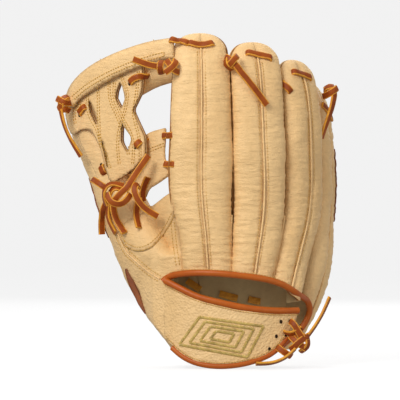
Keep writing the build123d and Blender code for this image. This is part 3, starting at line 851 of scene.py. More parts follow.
def palm_plan(z, s, deep=0.0):
    """Points of the palm's face at heights z, s across it, deep behind the face."""
    z = np.clip(z, -62, 72)
    levels = sorted(PALM_LEVELS)
    points = np.array([PALM_LEVELS[k] for k in levels], float)
    found = np.zeros(z.shape + (3,))
    for r in range(z.shape[0]):
        row = np.array([[spline(levels, points[:, k, i], z[r, 0]) for i in (0,
            1)] for k in range(7)])
        for i in (0, 1):
            found[r, :, i] = spline(range(7), row[:, i], s[r])
        if deep:
            run = np.gradient(found[r, :, :2], axis=0)
            run /= np.linalg.norm(run, axis=1)[:, None]
            found[r, :, 0] += run[:, 1] * deep
            found[r, :, 1] -= run[:, 0] * deep
        found[r, :, 2] = z[r]
    return found


def palm_foot(z, s):
    """How far the palm's lower edge rises towards its two sides."""
    return 14 * np.abs(s / 3 - 1) ** 2.2 * ease(0, -60, z)


PALM_STEP = 2.0
PALM_LOW = -60.0
PALM_TOP = 76.0


def palm_strip(name, first, last, angles, top=None):
    """A strip of the palm that turns into the front of a stall above the finger roots, with painted
    shade along its edges there.
    """
    low = np.arange(PALM_LOW, PALM_TOP, PALM_STEP)
    z = low if top else np.concatenate([low, heights(PALM_TOP, STALLS[name][-1][0], PALM_STEP)])
    count = max(int(abs(last - first) * 22), 8)
    zz, uu = np.meshgrid(z, np.linspace(0, 1, count), indexing="ij")
    ss = first + (last - first) * uu
    flat = palm_plan(zz, ss)
    foot = palm_foot(zz, ss)
    if top:
        merged = flat
        rise = (top(ss) - PALM_LOW) / (low[-1] - PALM_LOW)
        merged[..., 2] = foot + PALM_LOW + (zz - PALM_LOW) * rise
    else:
        aa = angles[0] + (angles[1] - angles[0]) * uu
        front = stall_skin(name, zz, aa, 0.8 * np.sin(np.radians(aa)))
        share = ease(46, 74, zz)[..., None]
        merged = flat * (1 - share) + front * share
        merged[..., 2] = zz + foot
    wave = roughen(merged, (0.03, 0.03, 0.02), 2.2, 41.0)
    wave = wave + roughen(merged, (0.05, 0.05, 0.3), 0.35, 47.0)
    merged[..., 1] += wave * 0.8
    # painted shade along the strip's edges above the finger roots, where the stall fronts crease
    # apart
    crease = np.exp(-(np.minimum(uu, 1 - uu) / 0.04) ** 2) * ease(40, 70, zz)
    return merged, 0.6 * crease


def palm_piece(name, strips, body, replaced, blend):
    """One hide of palm leather from strips, given a blend across its joint but only baked in place.
    """
    grids, painted_shades = zip(*(palm_strip(*strip) for strip in strips))
    made = skin_mesh(name, list(grids), (0, 1, 0), (SHELL, RAW_EDGE), list(painted_shades))
    thicken(made, LEATHER)
    return place_on(made, body, "shell_leather", *replaced, blend=blend)


def crotch_top(s):
    """Height of the palm's top edge between the thumb and the index finger."""
    return 70 - 7 * np.sin((s - CROTCH) / (INDEX_FOOT - CROTCH) * pi)


MIDDLE_SPLIT = (MIDDLE_FOOT + RING_FOOT) / 2
palm_thumb_half = palm_piece(
    "palm_leather_thumb_half",
    (
        ("thumb", THUMB_FOOT, CROTCH, (180, 0)),
        ("thumb", CROTCH, INDEX_FOOT, None, crotch_top),
        ("index", INDEX_FOOT, MIDDLE_FOOT, (180, 0)),
        ("middle", MIDDLE_FOOT, MIDDLE_SPLIT, (180, 90)),
    ),
    "thumb_side", ("palm_leather", "palm_leather_thumb"),
    ("hand_body", (-48, 38.6, 38), (-24, 38.6, 41.2)),
)
palm_pinky_half = palm_piece(
    "palm_leather_pinky_half",
    (
        ("middle", MIDDLE_SPLIT, RING_FOOT, (90, 0)),
        ("ring", RING_FOOT, PINKY_FOOT, (180, 0)),
        ("pinky", PINKY_FOOT, PALM_END, (180, 0)),
    ),
    "pinky_side", ("palm_leather_pinky",),
    ("hand_body", (60, 60, 40), (36, 60, 42)),
)


def wall_piece(name, s_range, z_range, deep, thick, body, slot, made_of, crowned, *nodes):
    """A ply behind the palm's face: lining, felt or a crowned pad."""
    z = np.arange(z_range[0], z_range[1] + 0.1, 2.0)
    zz, ss = np.meshgrid(z, np.linspace(*s_range, 40), indexing="ij")
    u = (ss - s_range[0]) / (s_range[1] - s_range[0])
    v = (zz - z_range[0]) / (z_range[1] - z_range[0])
    near = palm_plan(zz, ss, deep)
    far = palm_plan(zz, ss, deep + thick)
    near[..., 2] += palm_foot(zz, ss)
    far[..., 2] += palm_foot(zz, ss)
    if crowned:
        swell = (1 - (2 * u - 1) ** 4) * (1 - (2 * v - 1) ** 4)
        far = near + (far - near) * (0.25 + 0.75 * swell)[..., None]
    work = skin_mesh(name, [near], (0, 1, 0), (made_of,))
    back = skin_mesh(name + "_back", [far], (0, -1, 0), (made_of,))
    bm = bmesh.new()
    bm.from_mesh(work.data)
    bm.from_mesh(back.data)
    edges = [e for e in bm.edges if e.is_boundary]
    bmesh.ops.bridge_loops(bm, edges=edges)
    bmesh.ops.recalc_face_normals(bm, faces=bm.faces)
    bm.to_mesh(work.data)
    bm.free()
    bpy.data.objects.remove(back)
    work.data.polygons.foreach_set("use_smooth", [True] * len(work.data.polygons))
    return place_on(work, body, slot, *nodes)


FELT_TOP, LINING_TOP = 44, 46
for name, s_range, z_range, thick, body, crowned, node_name in (
    ("palm_felt_layer", (2.15, 4.9), (-57, FELT_TOP), 2.6, "hand_body", False, "palm_felt"),
    ("thumb_heel_felt", (0.35, 1.9), (-56, -4), 3.4, "thumb_side", True, "thumb_heel_pad"),
    ("pinky_heel_felt", (5.0, 5.8), (-56, -4), 3.4, "pinky_side", True, "pinky_heel_pad"),
):
    pad = wall_piece(
        name, s_range, z_range, 2.8, thick, body, "felt_padding", FELT, crowned, node_name,
    )
for side_name, s_range in (("thumb", (0.15, 0.9)), ("pinky", (5.2, 5.85))):
    wall_piece(
        f"{side_name}_stiffener_sheet", s_range, (0, 46), 3.2, 1.4, f"{side_name}_side",
        "stiffener_plastic", SHEET_PLASTIC, False, f"{side_name}_stiffener",
    )
linings = [
    wall_piece(
        name, s_range, (-58, LINING_TOP), 6.2, 1.3, body, "lining_leather", LINING, False, *nodes,
    )
    for name, s_range, body, nodes in (
        ("palm_lining_leather", (2.0, 5.05), "hand_body", ("palm_lining",)),
        ("thumb_palm_lining", (0.5, 2.0), "thumb_side", ()),
    )
]

# Lining from the bound edges back to the palm, at both ends of the opening
END_Z = np.arange(-50, 9, 2.0)
THUMB_END_Z = np.arange(-28, 9, 2.0)
thumb_front = np.array([(-57.5, 6.0, z) for z in THUMB_END_Z])
thumb_back = palm_plan(*np.meshgrid(THUMB_END_Z, (1.0, 1.1), indexing="ij"), 6.2)[:, 0]
PINKY_LINING_ANGLE = (182, 192, 230, 252, 250, 224, 200, 190, 190)
pinky_front = stall_skin("pinky", END_Z, spline(PINKY_EDGE_Z, PINKY_LINING_ANGLE, END_Z), -3.0)
pinky_back = palm_plan(*np.meshgrid(END_Z, (4.95, 5.05), indexing="ij"), 6.4)[:, 0]
for name, body, front, back, out in (
    ("thumb_end_lining", "thumb_side", thumb_front, thumb_back, (1, 0, 0)),
    ("pinky_end_lining", "pinky_side", pinky_front, pinky_back, (-1, 0, 0)),
):
    t = np.linspace(0, 1, 14)[None, :, None]
    wall_grid = front[:, None] * (1 - t) + back[:, None] * t
    wall_grid[..., 0] += roughen(wall_grid, (0.06, 0.06, 0.06), 1.0, 57.0)
    # the end linings lie deep in the opening and carry painted shade all over
    made = skin_mesh(name, [wall_grid], out, (LINING, LINING), [np.full(wall_grid.shape[:2], 0.35)])
    thicken(made, 1.2)
    place_on(made, body, "lining_leather")

# Linings of the stalls, each a soft glove finger inside its shell
for name, body, deep in (
    ("index", "hand_body", 3.0), ("middle", "hand_body", 3.0), ("ring", "hand_body", 3.0),
    ("pinky", "pinky_side", 5.2), ("thumb", "thumb_side", 5.2),
):
    levels = heights(FINGER_ROOT, STALLS[name][-1][0] - 6, 2.5)
    zz, aa = np.meshgrid(levels, np.linspace(0, 360, 49), indexing="ij")
    skin = stall_skin(name, zz, aa, -deep)
    skin = stall_skin(name, zz, aa, -deep + roughen(skin, (0.08, 0.08, 0.1), 0.5, 53.0))
    made = skin_mesh(f"{name}_stall_lining", [skin], (0, -1, 0), (LINING, LINING))
    bm = bmesh.new()
    bm.from_mesh(made.data)
    bmesh.ops.recalc_face_normals(bm, faces=bm.faces)
    bm.to_mesh(made.data)
    bm.free()
    thicken(made, 1.1, 0)
    place_on(made, body, "lining_leather", f"{name}_lining")

# ---- cut panels: an outline seen from the back, laid on a curved wall ----------------------------


def circle_of(arc):
    """Centre and radius of the circle through three plan points."""
    (ax, ay), (bx, by), (cx, cy) = arc
    d = 2 * (ax * (by - cy) + bx * (cy - ay) + cx * (ay - by))
    a, b, c = ax * ax + ay * ay, bx * bx + by * by, cx * cx + cy * cy
    x = (a * (by - cy) + b * (cy - ay) + c * (ay - by)) / d
    y = (a * (cx - bx) + b * (ax - cx) + c * (bx - ax)) / d
    return x, y, hypot(ax - x, ay - y)


def arc_wall(arc):
    """A function (x, z, depth) onto a curved wall, depth further to the back."""
    cx, cy, radius = circle_of(arc)

    def wall(x, z, depth=0.0):
        spread = min(max((x - cx) / (radius + depth), -0.98), 0.98)
        return Vector((x, cy - (radius + depth) * sqrt(1 - spread * spread), z))

    return wall


def softened(outline, passes):
    """A closed outline with its corners cut round."""
    points = [Vector(p) for p in outline]
    for _ in range(passes):
        points = [
            a.lerp(b, share)
            for a, b in zip(points, points[1:] + points[:1])
            for share in (0.25, 0.75)
        ]
    return points


def inside(point, outline):
    """Whether a plan point lies in a closed outline."""
    x, z = point
    odd = False
    for a, b in zip(outline, outline[1:] + outline[:1]):
        if (a[1] > z) != (b[1] > z) and x < a[0] + (z - a[1]) / (b[1] - a[1]) * (b[0] - a[0]):
            odd = not odd
    return odd


def edge_distance(point, outlines):
    """How far a plan point is from the nearest edge."""
    best = 1e9
    for outline in outlines:
        for a, b in zip(outline, outline[1:] + outline[:1]):
            run = b - a
            t = max(0.0, min(1.0, (point - a).dot(run) / max(run.length_squared, 1e-9)))
            best = min(best, (point - a - run * t).length)
    return best


def panel(name, wall, depth, thick, outline, windows=(), step=2.4, crown=0.0, roll=3.0,
          rough=0.35, made_of=SHELL, rim=RAW_EDGE, seed=61.0, passes=1, edge_darkening=0.45):
    """Leather cut to an outline (x, z) with windows, its outer skin at a depth on a wall."""
    points, edges, loops = [], [], []
    for corners in (outline, *windows):
        line = softened(corners, passes)
        loop = even(line + line[:1], step * 0.6)[:-1]
        loops.append(loop)
        start = len(points)
        points += loop
        edges += [(start + i, start + (i + 1) % len(loop)) for i in range(len(loop))]
    xs, zs = [p.x for p in loops[0]], [p.y for p in loops[0]]
    for i in range(int((max(xs) - min(xs)) / step) + 1):
        for k in range(int((max(zs) - min(zs)) / step) + 1):
            spot = Vector((min(xs) + step * (i + 0.5 * (k % 2)), min(zs) + step * k))
            kept = inside(spot, loops[0]) and not any(inside(spot, w) for w in loops[1:])
            if kept and edge_distance(spot, loops) > step * 0.45:
                points.append(spot)
    flat, _, faces, *_ = delaunay_2d_cdt(points, edges, [], 0, 1e-6)
    verts, painted_shade_and_edge_dark = [], []
    for p in flat:
        near = edge_distance(p, loops)
        bulge = crown * (1 - max(0.0, 1 - near / roll) ** 2)
        wave = noise.fractal(Vector((p.x * 0.05 + seed, p.y * 0.05, seed)), 1.0, 2.0, 3) * rough
        verts.append(wall(p.x, p.y, depth - crown + bulge + wave) * MM)
        # darker along the panel's cut edges
        painted_shade_and_edge_dark.append(edge_darkening * max(0.0, 1 - near / 1.2))
    kept = []
    for face in faces:
        middle = sum((flat[i] for i in face), Vector((0, 0))) / len(face)
        if inside(middle, loops[0]) and not any(inside(middle, w) for w in loops[1:]):
            kept.append(face)
    made = skin_object(name, verts, kept, painted_shade_and_edge_dark, BACK_WAY, (made_of, rim))
    return thicken(made, thick - crown * 0.5)


def offset_row(points, amount):
    """A row of (x, z) points moved to its left by an amount."""
    moved = []
    for i, p in enumerate(points):
        before, after = points[max(i - 1, 0)], points[min(i + 1, len(points) - 1)]
        run = hypot(after[0] - before[0], after[1] - before[1]) or 1.0
        across, up = (before[1] - after[1]) / run, (after[0] - before[0]) / run
        moved.append((p[0] + amount * across, p[1] + amount * up))
    return moved


def flat_nurbs(points):
    """A smooth row of (x, z) points read from a NURBS spline."""
    return [(p.x, p.z) for p in nurbs([(x, 0, z) for x, z in points], 8)]


# The web
WEB_WALL = arc_wall(((-56.8, 8.5), (-100.0, 26.5), (-139.0, 60.0)))
WEB_OUTLINE = (
    (-150, 164), (-140, 171), (-127, 178), (-108, 189), (-81.5, 199.5), (-81.6, 186),
    (-82.4, 173.6),
    (-83.2, 171.2), (-89.4, 158.8), (-89.6, 156.2), (-88.8, 153.8), (-80.6, 136.2), (-79.6, 133.2),
    (-78.8, 120),
    (-79.8, 117), (-88, 107.4), (-97, 100), (-107, 94.4), (-111, 96.5), (-114.5, 108),
    (-118.5, 124), (-126, 138.5),
    (-131, 141.6), (-136, 140.4), (-142, 137), (-145.5, 137.4), (-148.5, 144), (-150.6, 154),
)
WEB_SLITS = (
    ((-101.4, 181.6), (-99.4, 178.6), (-97.6, 171.5), (-97, 167), (-99.2, 160.4), (-100.2, 158.6),
        (-102.4, 162),
     (-105.4, 167.8), (-104.6, 173.4)),
    ((-99.6, 146.2), (-97.4, 142.2), (-91.8, 134.4), (-91.2, 132), (-94, 122.6), (-95, 120.2),
        (-99.4, 127.6),
     (-100.4, 131), (-100.2, 140)),
    ((-129.2, 166.8), (-127.4, 164), (-122.4, 152), (-121.4, 145.2), (-122.6, 145), (-128.8, 156.4),
        (-129.4, 160)),
    ((-117.6, 131.6), (-116.4, 129), (-112.8, 117.4), (-112, 107.2), (-112.8, 107), (-116.2, 121.6),
        (-117.4, 126)),
)
RAW_STEP = 1.5  # how far the lining of the web steps out beyond its face
web_back = panel("web_back", WEB_WALL, 2.55, LEATHER, WEB_OUTLINE, WEB_SLITS, 2.0, 0.3, 1.6,
    passes=0)
web_front = panel(
    "web_front", WEB_WALL, -0.15, LEATHER,
    [(x + RAW_STEP * (x > -95), z) for x, z in WEB_OUTLINE],
    [[(x + RAW_STEP, z) for x, z in slit] for slit in WEB_SLITS], 2.0, 0.0, 2.0, seed=67.0,
    passes=0,
)
place_on(web_back, "thumb_side", "shell_leather", "web_back_panel")
place_on(web_front, "thumb_side", "shell_leather", "web_front_panel")
RAIL_OUTLINE = (
    (-151, 160), (-150.4, 170), (-147, 179), (-139.5, 188), (-127, 197.5), (-110.5, 205.4),
    (-93, 211.8),
    (-75, 216.8), (-57, 219.4), (-53.8, 219.6), (-53.6, 217.5), (-53.2, 203), (-53.4, 200.6),
    (-57, 200.8),
    (-72, 198.5), (-93, 191), (-111, 183), (-127, 174), (-137, 167.6), (-143.5, 159.5),
)
rail = panel("web_rail", WEB_WALL, 8.5, 5.5, RAIL_OUTLINE, (), 2.4, 2.6, 5.0, 0.5, seed=71.0)
place_on(rail, "thumb_side", "shell_leather", "web_top_rail")
ROLL_OUTLINE = (
    (-83, 202), (-60, 204), (-52.6, 204), (-52.4, 198), (-52.2, 184), (-52.4, 181.4), (-55, 181.2),
    (-68, 177.6),
    (-79.6, 171.8), (-82.4, 170.2), (-83, 174),
)
front_roll = panel(
    "web_roll", lambda x, z, d=0.0: WEB_WALL(x, z, d - (0.12 * (z - 192)) ** 2 * 2.2), -4.0, 5.0,
    ROLL_OUTLINE, (), 2.2, 3.0, 7.0, 0.3, seed=73.0,
)
place_on(front_roll, "thumb_side", "shell_leather", "web_front_roll")
BASE_WALL = arc_wall(((-57.5, 14.0), (-72.0, 21.0), (-86.0, 33.0)))
BASE_OUTLINE = (
    (-64, 141), (-61.4, 141.6), (-60.6, 139.6), (-61, 128), (-61.6, 119), (-60.2, 110),
    (-57.6, 103), (-57.2, 100.4),
    (-59.4, 98.6), (-68, 92.6), (-75.5, 88.4), (-79.5, 79), (-86, 74), (-98, 80), (-98, 96),
    (-92, 112), (-86, 124),
    (-82, 131), (-79.5, 135), (-74, 138.4),
)
base_strap = panel(
    "web_base", BASE_WALL, 2.4, LEATHER, BASE_OUTLINE, (), 2.2, 0.8, 3.0, 0.8, seed=79.0,
)
place_on(base_strap, "thumb_side", "shell_leather", "web_base_strap")

# The smooth pad in the crotch of thumb and index finger, drawn from the thumb's back to the index
thumb_tree = tree_of([SKINS["thumb_back_web_side"], SKINS["thumb_back_outer_side"],
    SKINS["strap_root_panel"]])


def crotch_wall(x, z, depth=0.0):
    """The surface that the smooth crotch pad lies on."""
    cx, _, w, _, turn, _ = section("thumb", z)
    edge = float(cx + w * cos(turn)) - 3.0
    low, _ = drop(thumb_tree, x, min(z, 71.0))
    y = low.y if low else 3.0
    if z > 71.0:
        near, _ = drop(thumb_tree, min(x, edge), z)
        y += ((near.y if near else y) - y) * float(ease(edge + 6.0, edge - 6.0, x))
    return Vector((x, y - depth, z))


CROTCH_OUTLINE = (
    (-54.5, 86), (-60, 83.5), (-72.7, 73.5), (-84, 66), (-99, 59), (-104, 48), (-97.9, 38.5),
    (-92.7, 35.5),
    (-86.6, 33.5), (-80.5, 33.8), (-73.6, 36.8), (-66.7, 43.6), (-58.9, 54), (-53.5, 64),
)
crotch_pad = panel(
    "crotch_pad", crotch_wall, 1.2, 1.2, CROTCH_OUTLINE, (), 2.4, 1.0, 4.0, 0.3, seed=83.0,
    rim=SHELL,
)
place_on(crotch_pad, "thumb_side", "shell_leather", "thumb_crotch_gusset")

# The wrist strap, with rolled bindings and an embroidered pattern of nested lozenges
STRAP_WALL = arc_wall(((-59.5, 0.0), (-4.0, -16.0), (54.0, 3.0)))
STRAP_TOP = ((-62, 7.5), (-48, 0.5), (-34, -6.5), (-15, -11), (5, -15.5), (26, -18), (45, -18.8),
    (54, -18.6))
STRAP_LOW = (
    (51.5, -26), (48.5, -33), (44, -40), (38.5, -46.5), (31.5, -52.6), (24, -56.6), (14, -60),
    (4.8, -62.2),
    (-6, -63.6), (-15.9, -64), (-27, -63), (-36.7, -60.6), (-44, -57.2), (-50, -53), (-55, -48.4),
    (-61, -42.4),
    (-63, -40),
)


def strap_skin(x, z, depth=0.0):
    """The strap's wall, thinned out where its sewn end meets the root panel."""
    return STRAP_WALL(x, z, depth - 2.2 * (1 - float(ease(-63, -50, x))))


strap = panel(
    "strap_leather", strap_skin, LEATHER, LEATHER, ((-63.5, 7.9), *STRAP_TOP, *STRAP_LOW), (), 2.4,
    0.2, 3.0, 0.7,
    PEBBLED, PEBBLED, 89.0, edge_darkening=0.0,
)
place_on(
    strap, "hand_body", "shell_leather", "wrist_strap",
    blend=("strap", (-60, 0, -30), (-50, -4, -30)),
)
strap_inner = panel(
    "strap_fleece", STRAP_WALL, -0.3, 3.0,
    [(x * 0.94, (z + 36) * 0.88 - 36) for x, z in STRAP_TOP + STRAP_LOW],
    (), 3.0, 1.0, 5.0, 0.5, FELT, FELT, 97.0,
)
place_on(strap_inner, "strap", "lining_leather", "strap_lining")


def rolled(name, points, ways, width, thick, body, node_name):
    """A rolled leather binding along a path."""
    made = cord_mesh(name, [(even(points, ROLL_STEP), ways)], width, thick, BINDING)
    place_on(made, body, "binding_leather", node_name)


for name, line, apart, depth, width, thick, node_name in (
    ("strap_top_roll", STRAP_TOP, 1.6, 1.4, 5.8, 5.0, "strap_top_binding"),
    ("strap_low_roll", STRAP_LOW[2:-2], 0.6, 1.2, 4.8, 4.6, "strap_bottom_binding"),
):
    points = [STRAP_WALL(x, z, depth) for x, z in offset_row(flat_nurbs(line), apart)]
    rolled(name, points, (BACK_WAY, BACK_WAY), width, thick, "strap", node_name)

# The bound edge round the opening, from the strap's root over the fingers and down the far side
OPENING_WALL = arc_wall(((-60.0, 4.0), (-2.0, -20.5), (63.0, 19.0)))
OPENING_RUN = (
    (-64, 9.3), (-59, 12.4), (-51, 14.6), (-44, 15.6), (-27, 16.4), (-6, 15), (15, 12.5), (31, 9.5),
    (45, 4), (54, -3),
)
arch = [OPENING_WALL(x, z, 1.4) for x, z in flat_nurbs(OPENING_RUN)]
arch[0] = Vector((-63.5, 1.5, 8.0))
side = [Vector(stall_skin("pinky", np.array(z), np.array(a), 0.6)) for z, a in (
    (-8, 212), (-13, 232), (-19, 246), (-27, 248), (-34, 240), (-40.5, 226), (-47, 190),
    (-51.5, 180),
)]
rolled(
    "opening_edge_roll", nurbs([*arch[::4], arch[-1], *side]),
    (BACK_WAY, BACK_WAY, (0.5, -1, 0.2), (0.6, -0.8, -0.2)), 5.6, 5.0,
    "hand_body", "opening_binding",
)

SKIN_TREE = tree_of([*SKINS.values(), web_back, rail, front_roll, base_strap, crotch_pad, strap])


def laid(points, lift=1.4):
    """Points (x, z) dropped onto the skins from the back, with the way each faces."""
    found = [drop(SKIN_TREE, x, z, lift) for x, z in points]
    known = [i for i, (p, _) in enumerate(found) if p is not None]
    row = []
    for i, (x, z) in enumerate(points):
        nearest = min(known, key=lambda k: abs(k - i))
        spot, way = found[nearest]
        row.append((Vector((x, spot.y, z)) if nearest != i else spot, way))
    return row


def sewn(points, apart=0.0):
    """A smooth row of (point, normal) on the skins for stitches; apart moves it to its left."""
    flat = flat_nurbs(points)
    return laid(offset_row(flat, apart) if apart else flat, 0.1)


# ---- free lace tails -----------------------------------------------------------------------------
# name: body, route in mm as in the CAD model, ways that the finished face looks
TAILS = {
    "fingertip_tail": (
        "hand_body",
        ((1.5, -7.5, 192.5), (7.0, -8.0, 186.0), (14.0, -7.6, 177.5), (21.0, -6.2, 168.5),
         (26.5, -4.6, 161.0)),
        ((0.2, -1, 0.1), (0.05, -1, 0.2), (0.1, -1, -0.1)),
    ),
    "pinky_tail": (
        "pinky_side",
        ((87.0, 54.5, 169.5), (85.5, 51.0, 161.5), (82.0, 48.6, 151.5), (78.5, 47.0, 141.5),
         (75.8, 46.2, 133.0)),
        ((0.8, -1, 0), (0.9, -0.7, -0.2), (1, -0.6, -0.3)),
    ),
    "thumb_tail": (
        "thumb_side",
        ((-154.0, 50.0, 158.0), (-152.0, 47.0, 148.5), (-148.0, 45.2, 137.5), (-142.0, 44.2, 126.5),
         (-135.8, 43.8, 117.0)),
        ((-1, -0.5, -0.1), (-1, -0.35, -0.3), (-0.8, -0.7, -0.4)),
    ),
    "crotch_tail": (
        "thumb_side",
        ((-96.0, 2.0, 87.0), (-92.0, 3.0, 93.5), (-87.0, 4.6, 101.5), (-81.5, 6.2, 109.5),
         (-76.0, 7.4, 117.5)),
        ((-0.1, -1, 0.1), (0, -1, 0), (0.15, -1, 0.1)),
    ),
    "strap_tail_up": (
        "strap",
        ((62.2, -9.4, -38.5), (66.8, -9.8, -32.3), (71.5, -8.8, -25.0), (76.0, -7.0, -17.0),
         (81.0, -3.6, -5.5)),
        ((0.8, -0.35, -0.55), (0.85, -0.3, -0.45), (0.85, -0.4, -0.4)),
    ),
    "strap_tail_low": (
        "strap",
        ((51.0, -15.5, -49.5), (45.0, -17.6, -55.5), (36.5, -19.4, -60.0), (27.0, -21.4, -62.2),
         (17.0, -23.2, -62.0)),
        ((0.35, -0.3, -0.85), (0.2, -0.35, -0.9), (0, -0.4, -0.9)),
    ),
}


for name, (body, route, ways) in TAILS.items():
    path = nurbs(route)
    tail = laces(f"{name}_lace", [(route, ways)])
    place_on(tail, body, "lace_leather", name)

# ---- threaded laces ------------------------------------------------------------------------------


def over(points, ends=1.6, lift=2.2):
    """A lace over the skins between two punched holes: its ends dive into the leather."""
    row = laid(points, lift)
    spots = [p for p, _ in row]
    ways = [w for _, w in row]
    first, last = spots[0] - ways[0] * (lift + ends), spots[-1] - ways[-1] * (lift + ends)
    return [first, *spots, last], [ways[0], *ways, ways[-1]]


def tip_row(name, first, last, z_first, z_last):
    """Points (x, z) over a fingertip between two angles of its back."""
    row = []
    for i in range(5):
        u = i / 4
        z, angle = z_first + (z_last - z_first) * u, first + (last - first) * u
        spot = stall_skin(name, np.array(z), np.array(angle))
        row.append((float(spot[0]), float(spot[2])))
    return row


tip_laces = [
    over(((-57, 217.5), (-52, 216.8), (-47, 215.5), (-41.5, 214.3))),
    over(((-41, 214.6), (-36, 213.0), (-31, 212.4), (-25, 212.8), (-20, 214.6))),
    over(tip_row("middle", 246, 300, 206.5, 201.5)),
    over(tip_row("ring", 236, 288, 190.5, 185.5)),
    over(((40.8, 180.8), (44.2, 177.8), (47.8, 173.0))),
]
place_on(laces("fingertip_lacing", tip_laces), "hand_body", "lace_leather", "fingertip_lace")
pinky_row = [
    tuple(stall_skin("pinky", np.array(z), np.array(a), 2.2)) for z,
    a in ((163, 232), (160, 252), (155, 270), (151, 290))
]
pinky_ways = [(0.7, -1, 0.3), (1, -0.6, 0.3), (1, -0.3, 0.3)]
place_on(laces("pinky_lacing", [(pinky_row, pinky_ways)]), "pinky_side", "lace_leather",
    "pinky_tip_lace")
web_runs = [
    over(((-92, 181), (-88.5, 184.6), (-83.5, 186.4), (-76.5, 186.6))),
    over(((-87, 125.5), (-83.5, 129.5), (-78, 131.6))),
    over(((-137, 154.8), (-134.6, 158.3), (-132, 161.0))),
    over(((-117.5, 108.6), (-116.2, 105.6), (-114.8, 101.8))),
    over(((-63.5, 134.6), (-60, 134.8), (-55.5, 135.0)), 1.6, 2.6),
    over(((-62, 110.2), (-58.5, 109.6), (-54.0, 109.8)), 1.6, 2.6),
]
place_on(laces("web_lacing", web_runs), "thumb_side", "lace_leather", "web_lace")


PALM_TREE = tree_of([palm_thumb_half, palm_pinky_half])
INNER_TREE = tree_of(linings)
inner_runs = []
for points in (
    ((-42, 8.5), (-36, 4.4), (-30.5, 0.6)),
    ((-14, -2.6), (-7, -5.0), (1.5, -7.0)),
    ((11, -7.6), (16, -9.2), (21, -10.0)),
):
    spots = [drop(INNER_TREE, x, z, 1.3)[0] for x, z in points]
    inner_runs.append((spots, ((0, 1, -0.3), (0, 1, -0.3))))
INTO_HAND = Vector(BACK_WAY)
for x in (-16.0, -7.0, 2.0, 11.0, 20.0):  # seen on the palm's heel
    row = ((x, -48), (x + 3.2, -47.6), (x + 6.4, -48))
    spots = [drop(PALM_TREE, along, z, 1.5, INTO_HAND)[0] for along, z in row]
    inner_runs.append((spots, ((0, 1, -0.2), (0, 1, -0.2))))
place_on(laces("heel_lacing", inner_runs), "hand_body", "lace_leather", "heel_lace")

# ---- knots: each is its own short laces, in (x, y, z) about a centre -----------------------------
OUT = BACK_WAY


def knot(name, body, centre, runs):
    """The laces of the knot of that name, which stand for its CAD node."""
    cx, cy, cz = centre
    moved = [([(cx + x, cy + y, cz + z) for x, y, z in points], ways) for points, ways in runs]
    place_on(laces(f"{name}_knot_lace", moved), body, "lace_leather", f"{name}_knot")


OVERHAND = (
    (((-5.5, 1, 4.5), (-3, -2, 3.5), (1.5, -3.2, -0.5), (5.5, -3.0, -5.5), (7.0, -2.4, -7.5)),
     (OUT, OUT, (0.3, -1, 0))),
    (((-4.5, 2, -4.0), (-2.5, -3.8, -3.0), (0.5, -5.4, 0.8), (3.6, -3.6, 4.2), (4.2, 2, 5.4)),
     ((-0.6, -0.8, -0.4), OUT, (0.6, -0.8, 0.4))),
    (((-4.2, 3, 5.0), (-6.2, -1.5, 1.0), (-4.6, -2.6, -4.2), (0.4, 1.5, -6.4)),
     ((-0.9, -0.4, 0.3), (-0.9, -0.6, 0), (-0.3, -0.6, -0.8))),
)
knot("fingertip", "hand_body", (-3.5, -5.0, 198.0), OVERHAND)
knot("web_top", "thumb_side", (-57.0, -6.5, 193.5), (
    (((4.5, 2, 6.0), (5.0, -3.5, 3.5), (1.0, -5.6, -1.0), (-4.2, -3.4, -4.6)),
     ((0.5, -0.9, 0.3), OUT, (-0.4, -0.9, -0.2))),
    (((7.5, 2, -4.2), (4.4, -4.2, -4.0), (-0.6, -4.4, 2.6), (-3.0, 1.5, 6.0)),
     ((0.7, -0.7, 0), OUT, (-0.2, -0.9, 0.4))),
    (((-7.2, 2, 5.2), (-8.6, -3.6, 3.4), (-8.8, -3.8, -2.8), (-7.4, 2, -5.4)),
     ((-0.1, -0.8, 0.6), OUT, (-0.1, -0.8, -0.6))),
    (((-6.0, -1.8, 0.0), (-14.0, -3.2, 1.0), (-22.0, -3.8, 3.0), (-32.0, -4.4, 6.8)),
     (OUT, (0.1, -1, 0.1), (0.0, -1, 0.2))),
))
knot("thumb_tip", "thumb_side", (-150.8, 52.0, 164.0), (
    (((3.0, 6, 6.0), (-1.0, -3.4, 5.0), (-3.6, -4.6, -1.0), (-2.4, -1.0, -5.5)),
     ((0, -1, 0.5), (-0.4, -0.9, 0), (-0.6, -0.8, -0.2))),
    (((6.5, 6, 1.0), (2.4, -4.2, -0.5), (-3.2, -5.4, 2.4), (-6.2, 1.0, 4.2)),
     ((0.6, -0.8, 0.2), OUT, (-0.8, -0.5, 0.3))),
    (((4.2, 5, -6.4), (1.2, -3.2, -5.0), (-3.0, -2.8, -6.0), (-5.2, 0.0, -2.0)),
     ((0.4, -0.9, -0.3), OUT, (-0.9, -0.4, 0))),
))
knot("pinky", "pinky_side", (84.0, 60.0, 172.5), (
    (((-4.0, 4, 6.5), (0.5, -2.6, 5.0), (4.2, -3.2, -0.5), (2.4, -1.5, -6.0)),
     ((0, -0.8, 0.6), (0.5, -0.9, 0.2), (0.7, -0.7, -0.3))),
    (((-6.2, 2, -2.2), (-2.0, -4.2, -0.4), (3.4, -4.2, 3.0), (5.8, 2.0, 5.2)),
     ((-0.5, -0.8, 0), OUT, (0.8, -0.5, 0.3))),
    (((-5.0, 3, 3.6), (-2.8, -1.8, 5.8), (0.4, -1.8, 6.8), (3.0, 3.0, 6.2)),
     ((-0.4, -0.8, 0.5), (0, -0.8, 0.7), (0.4, -0.8, 0.5))),
))
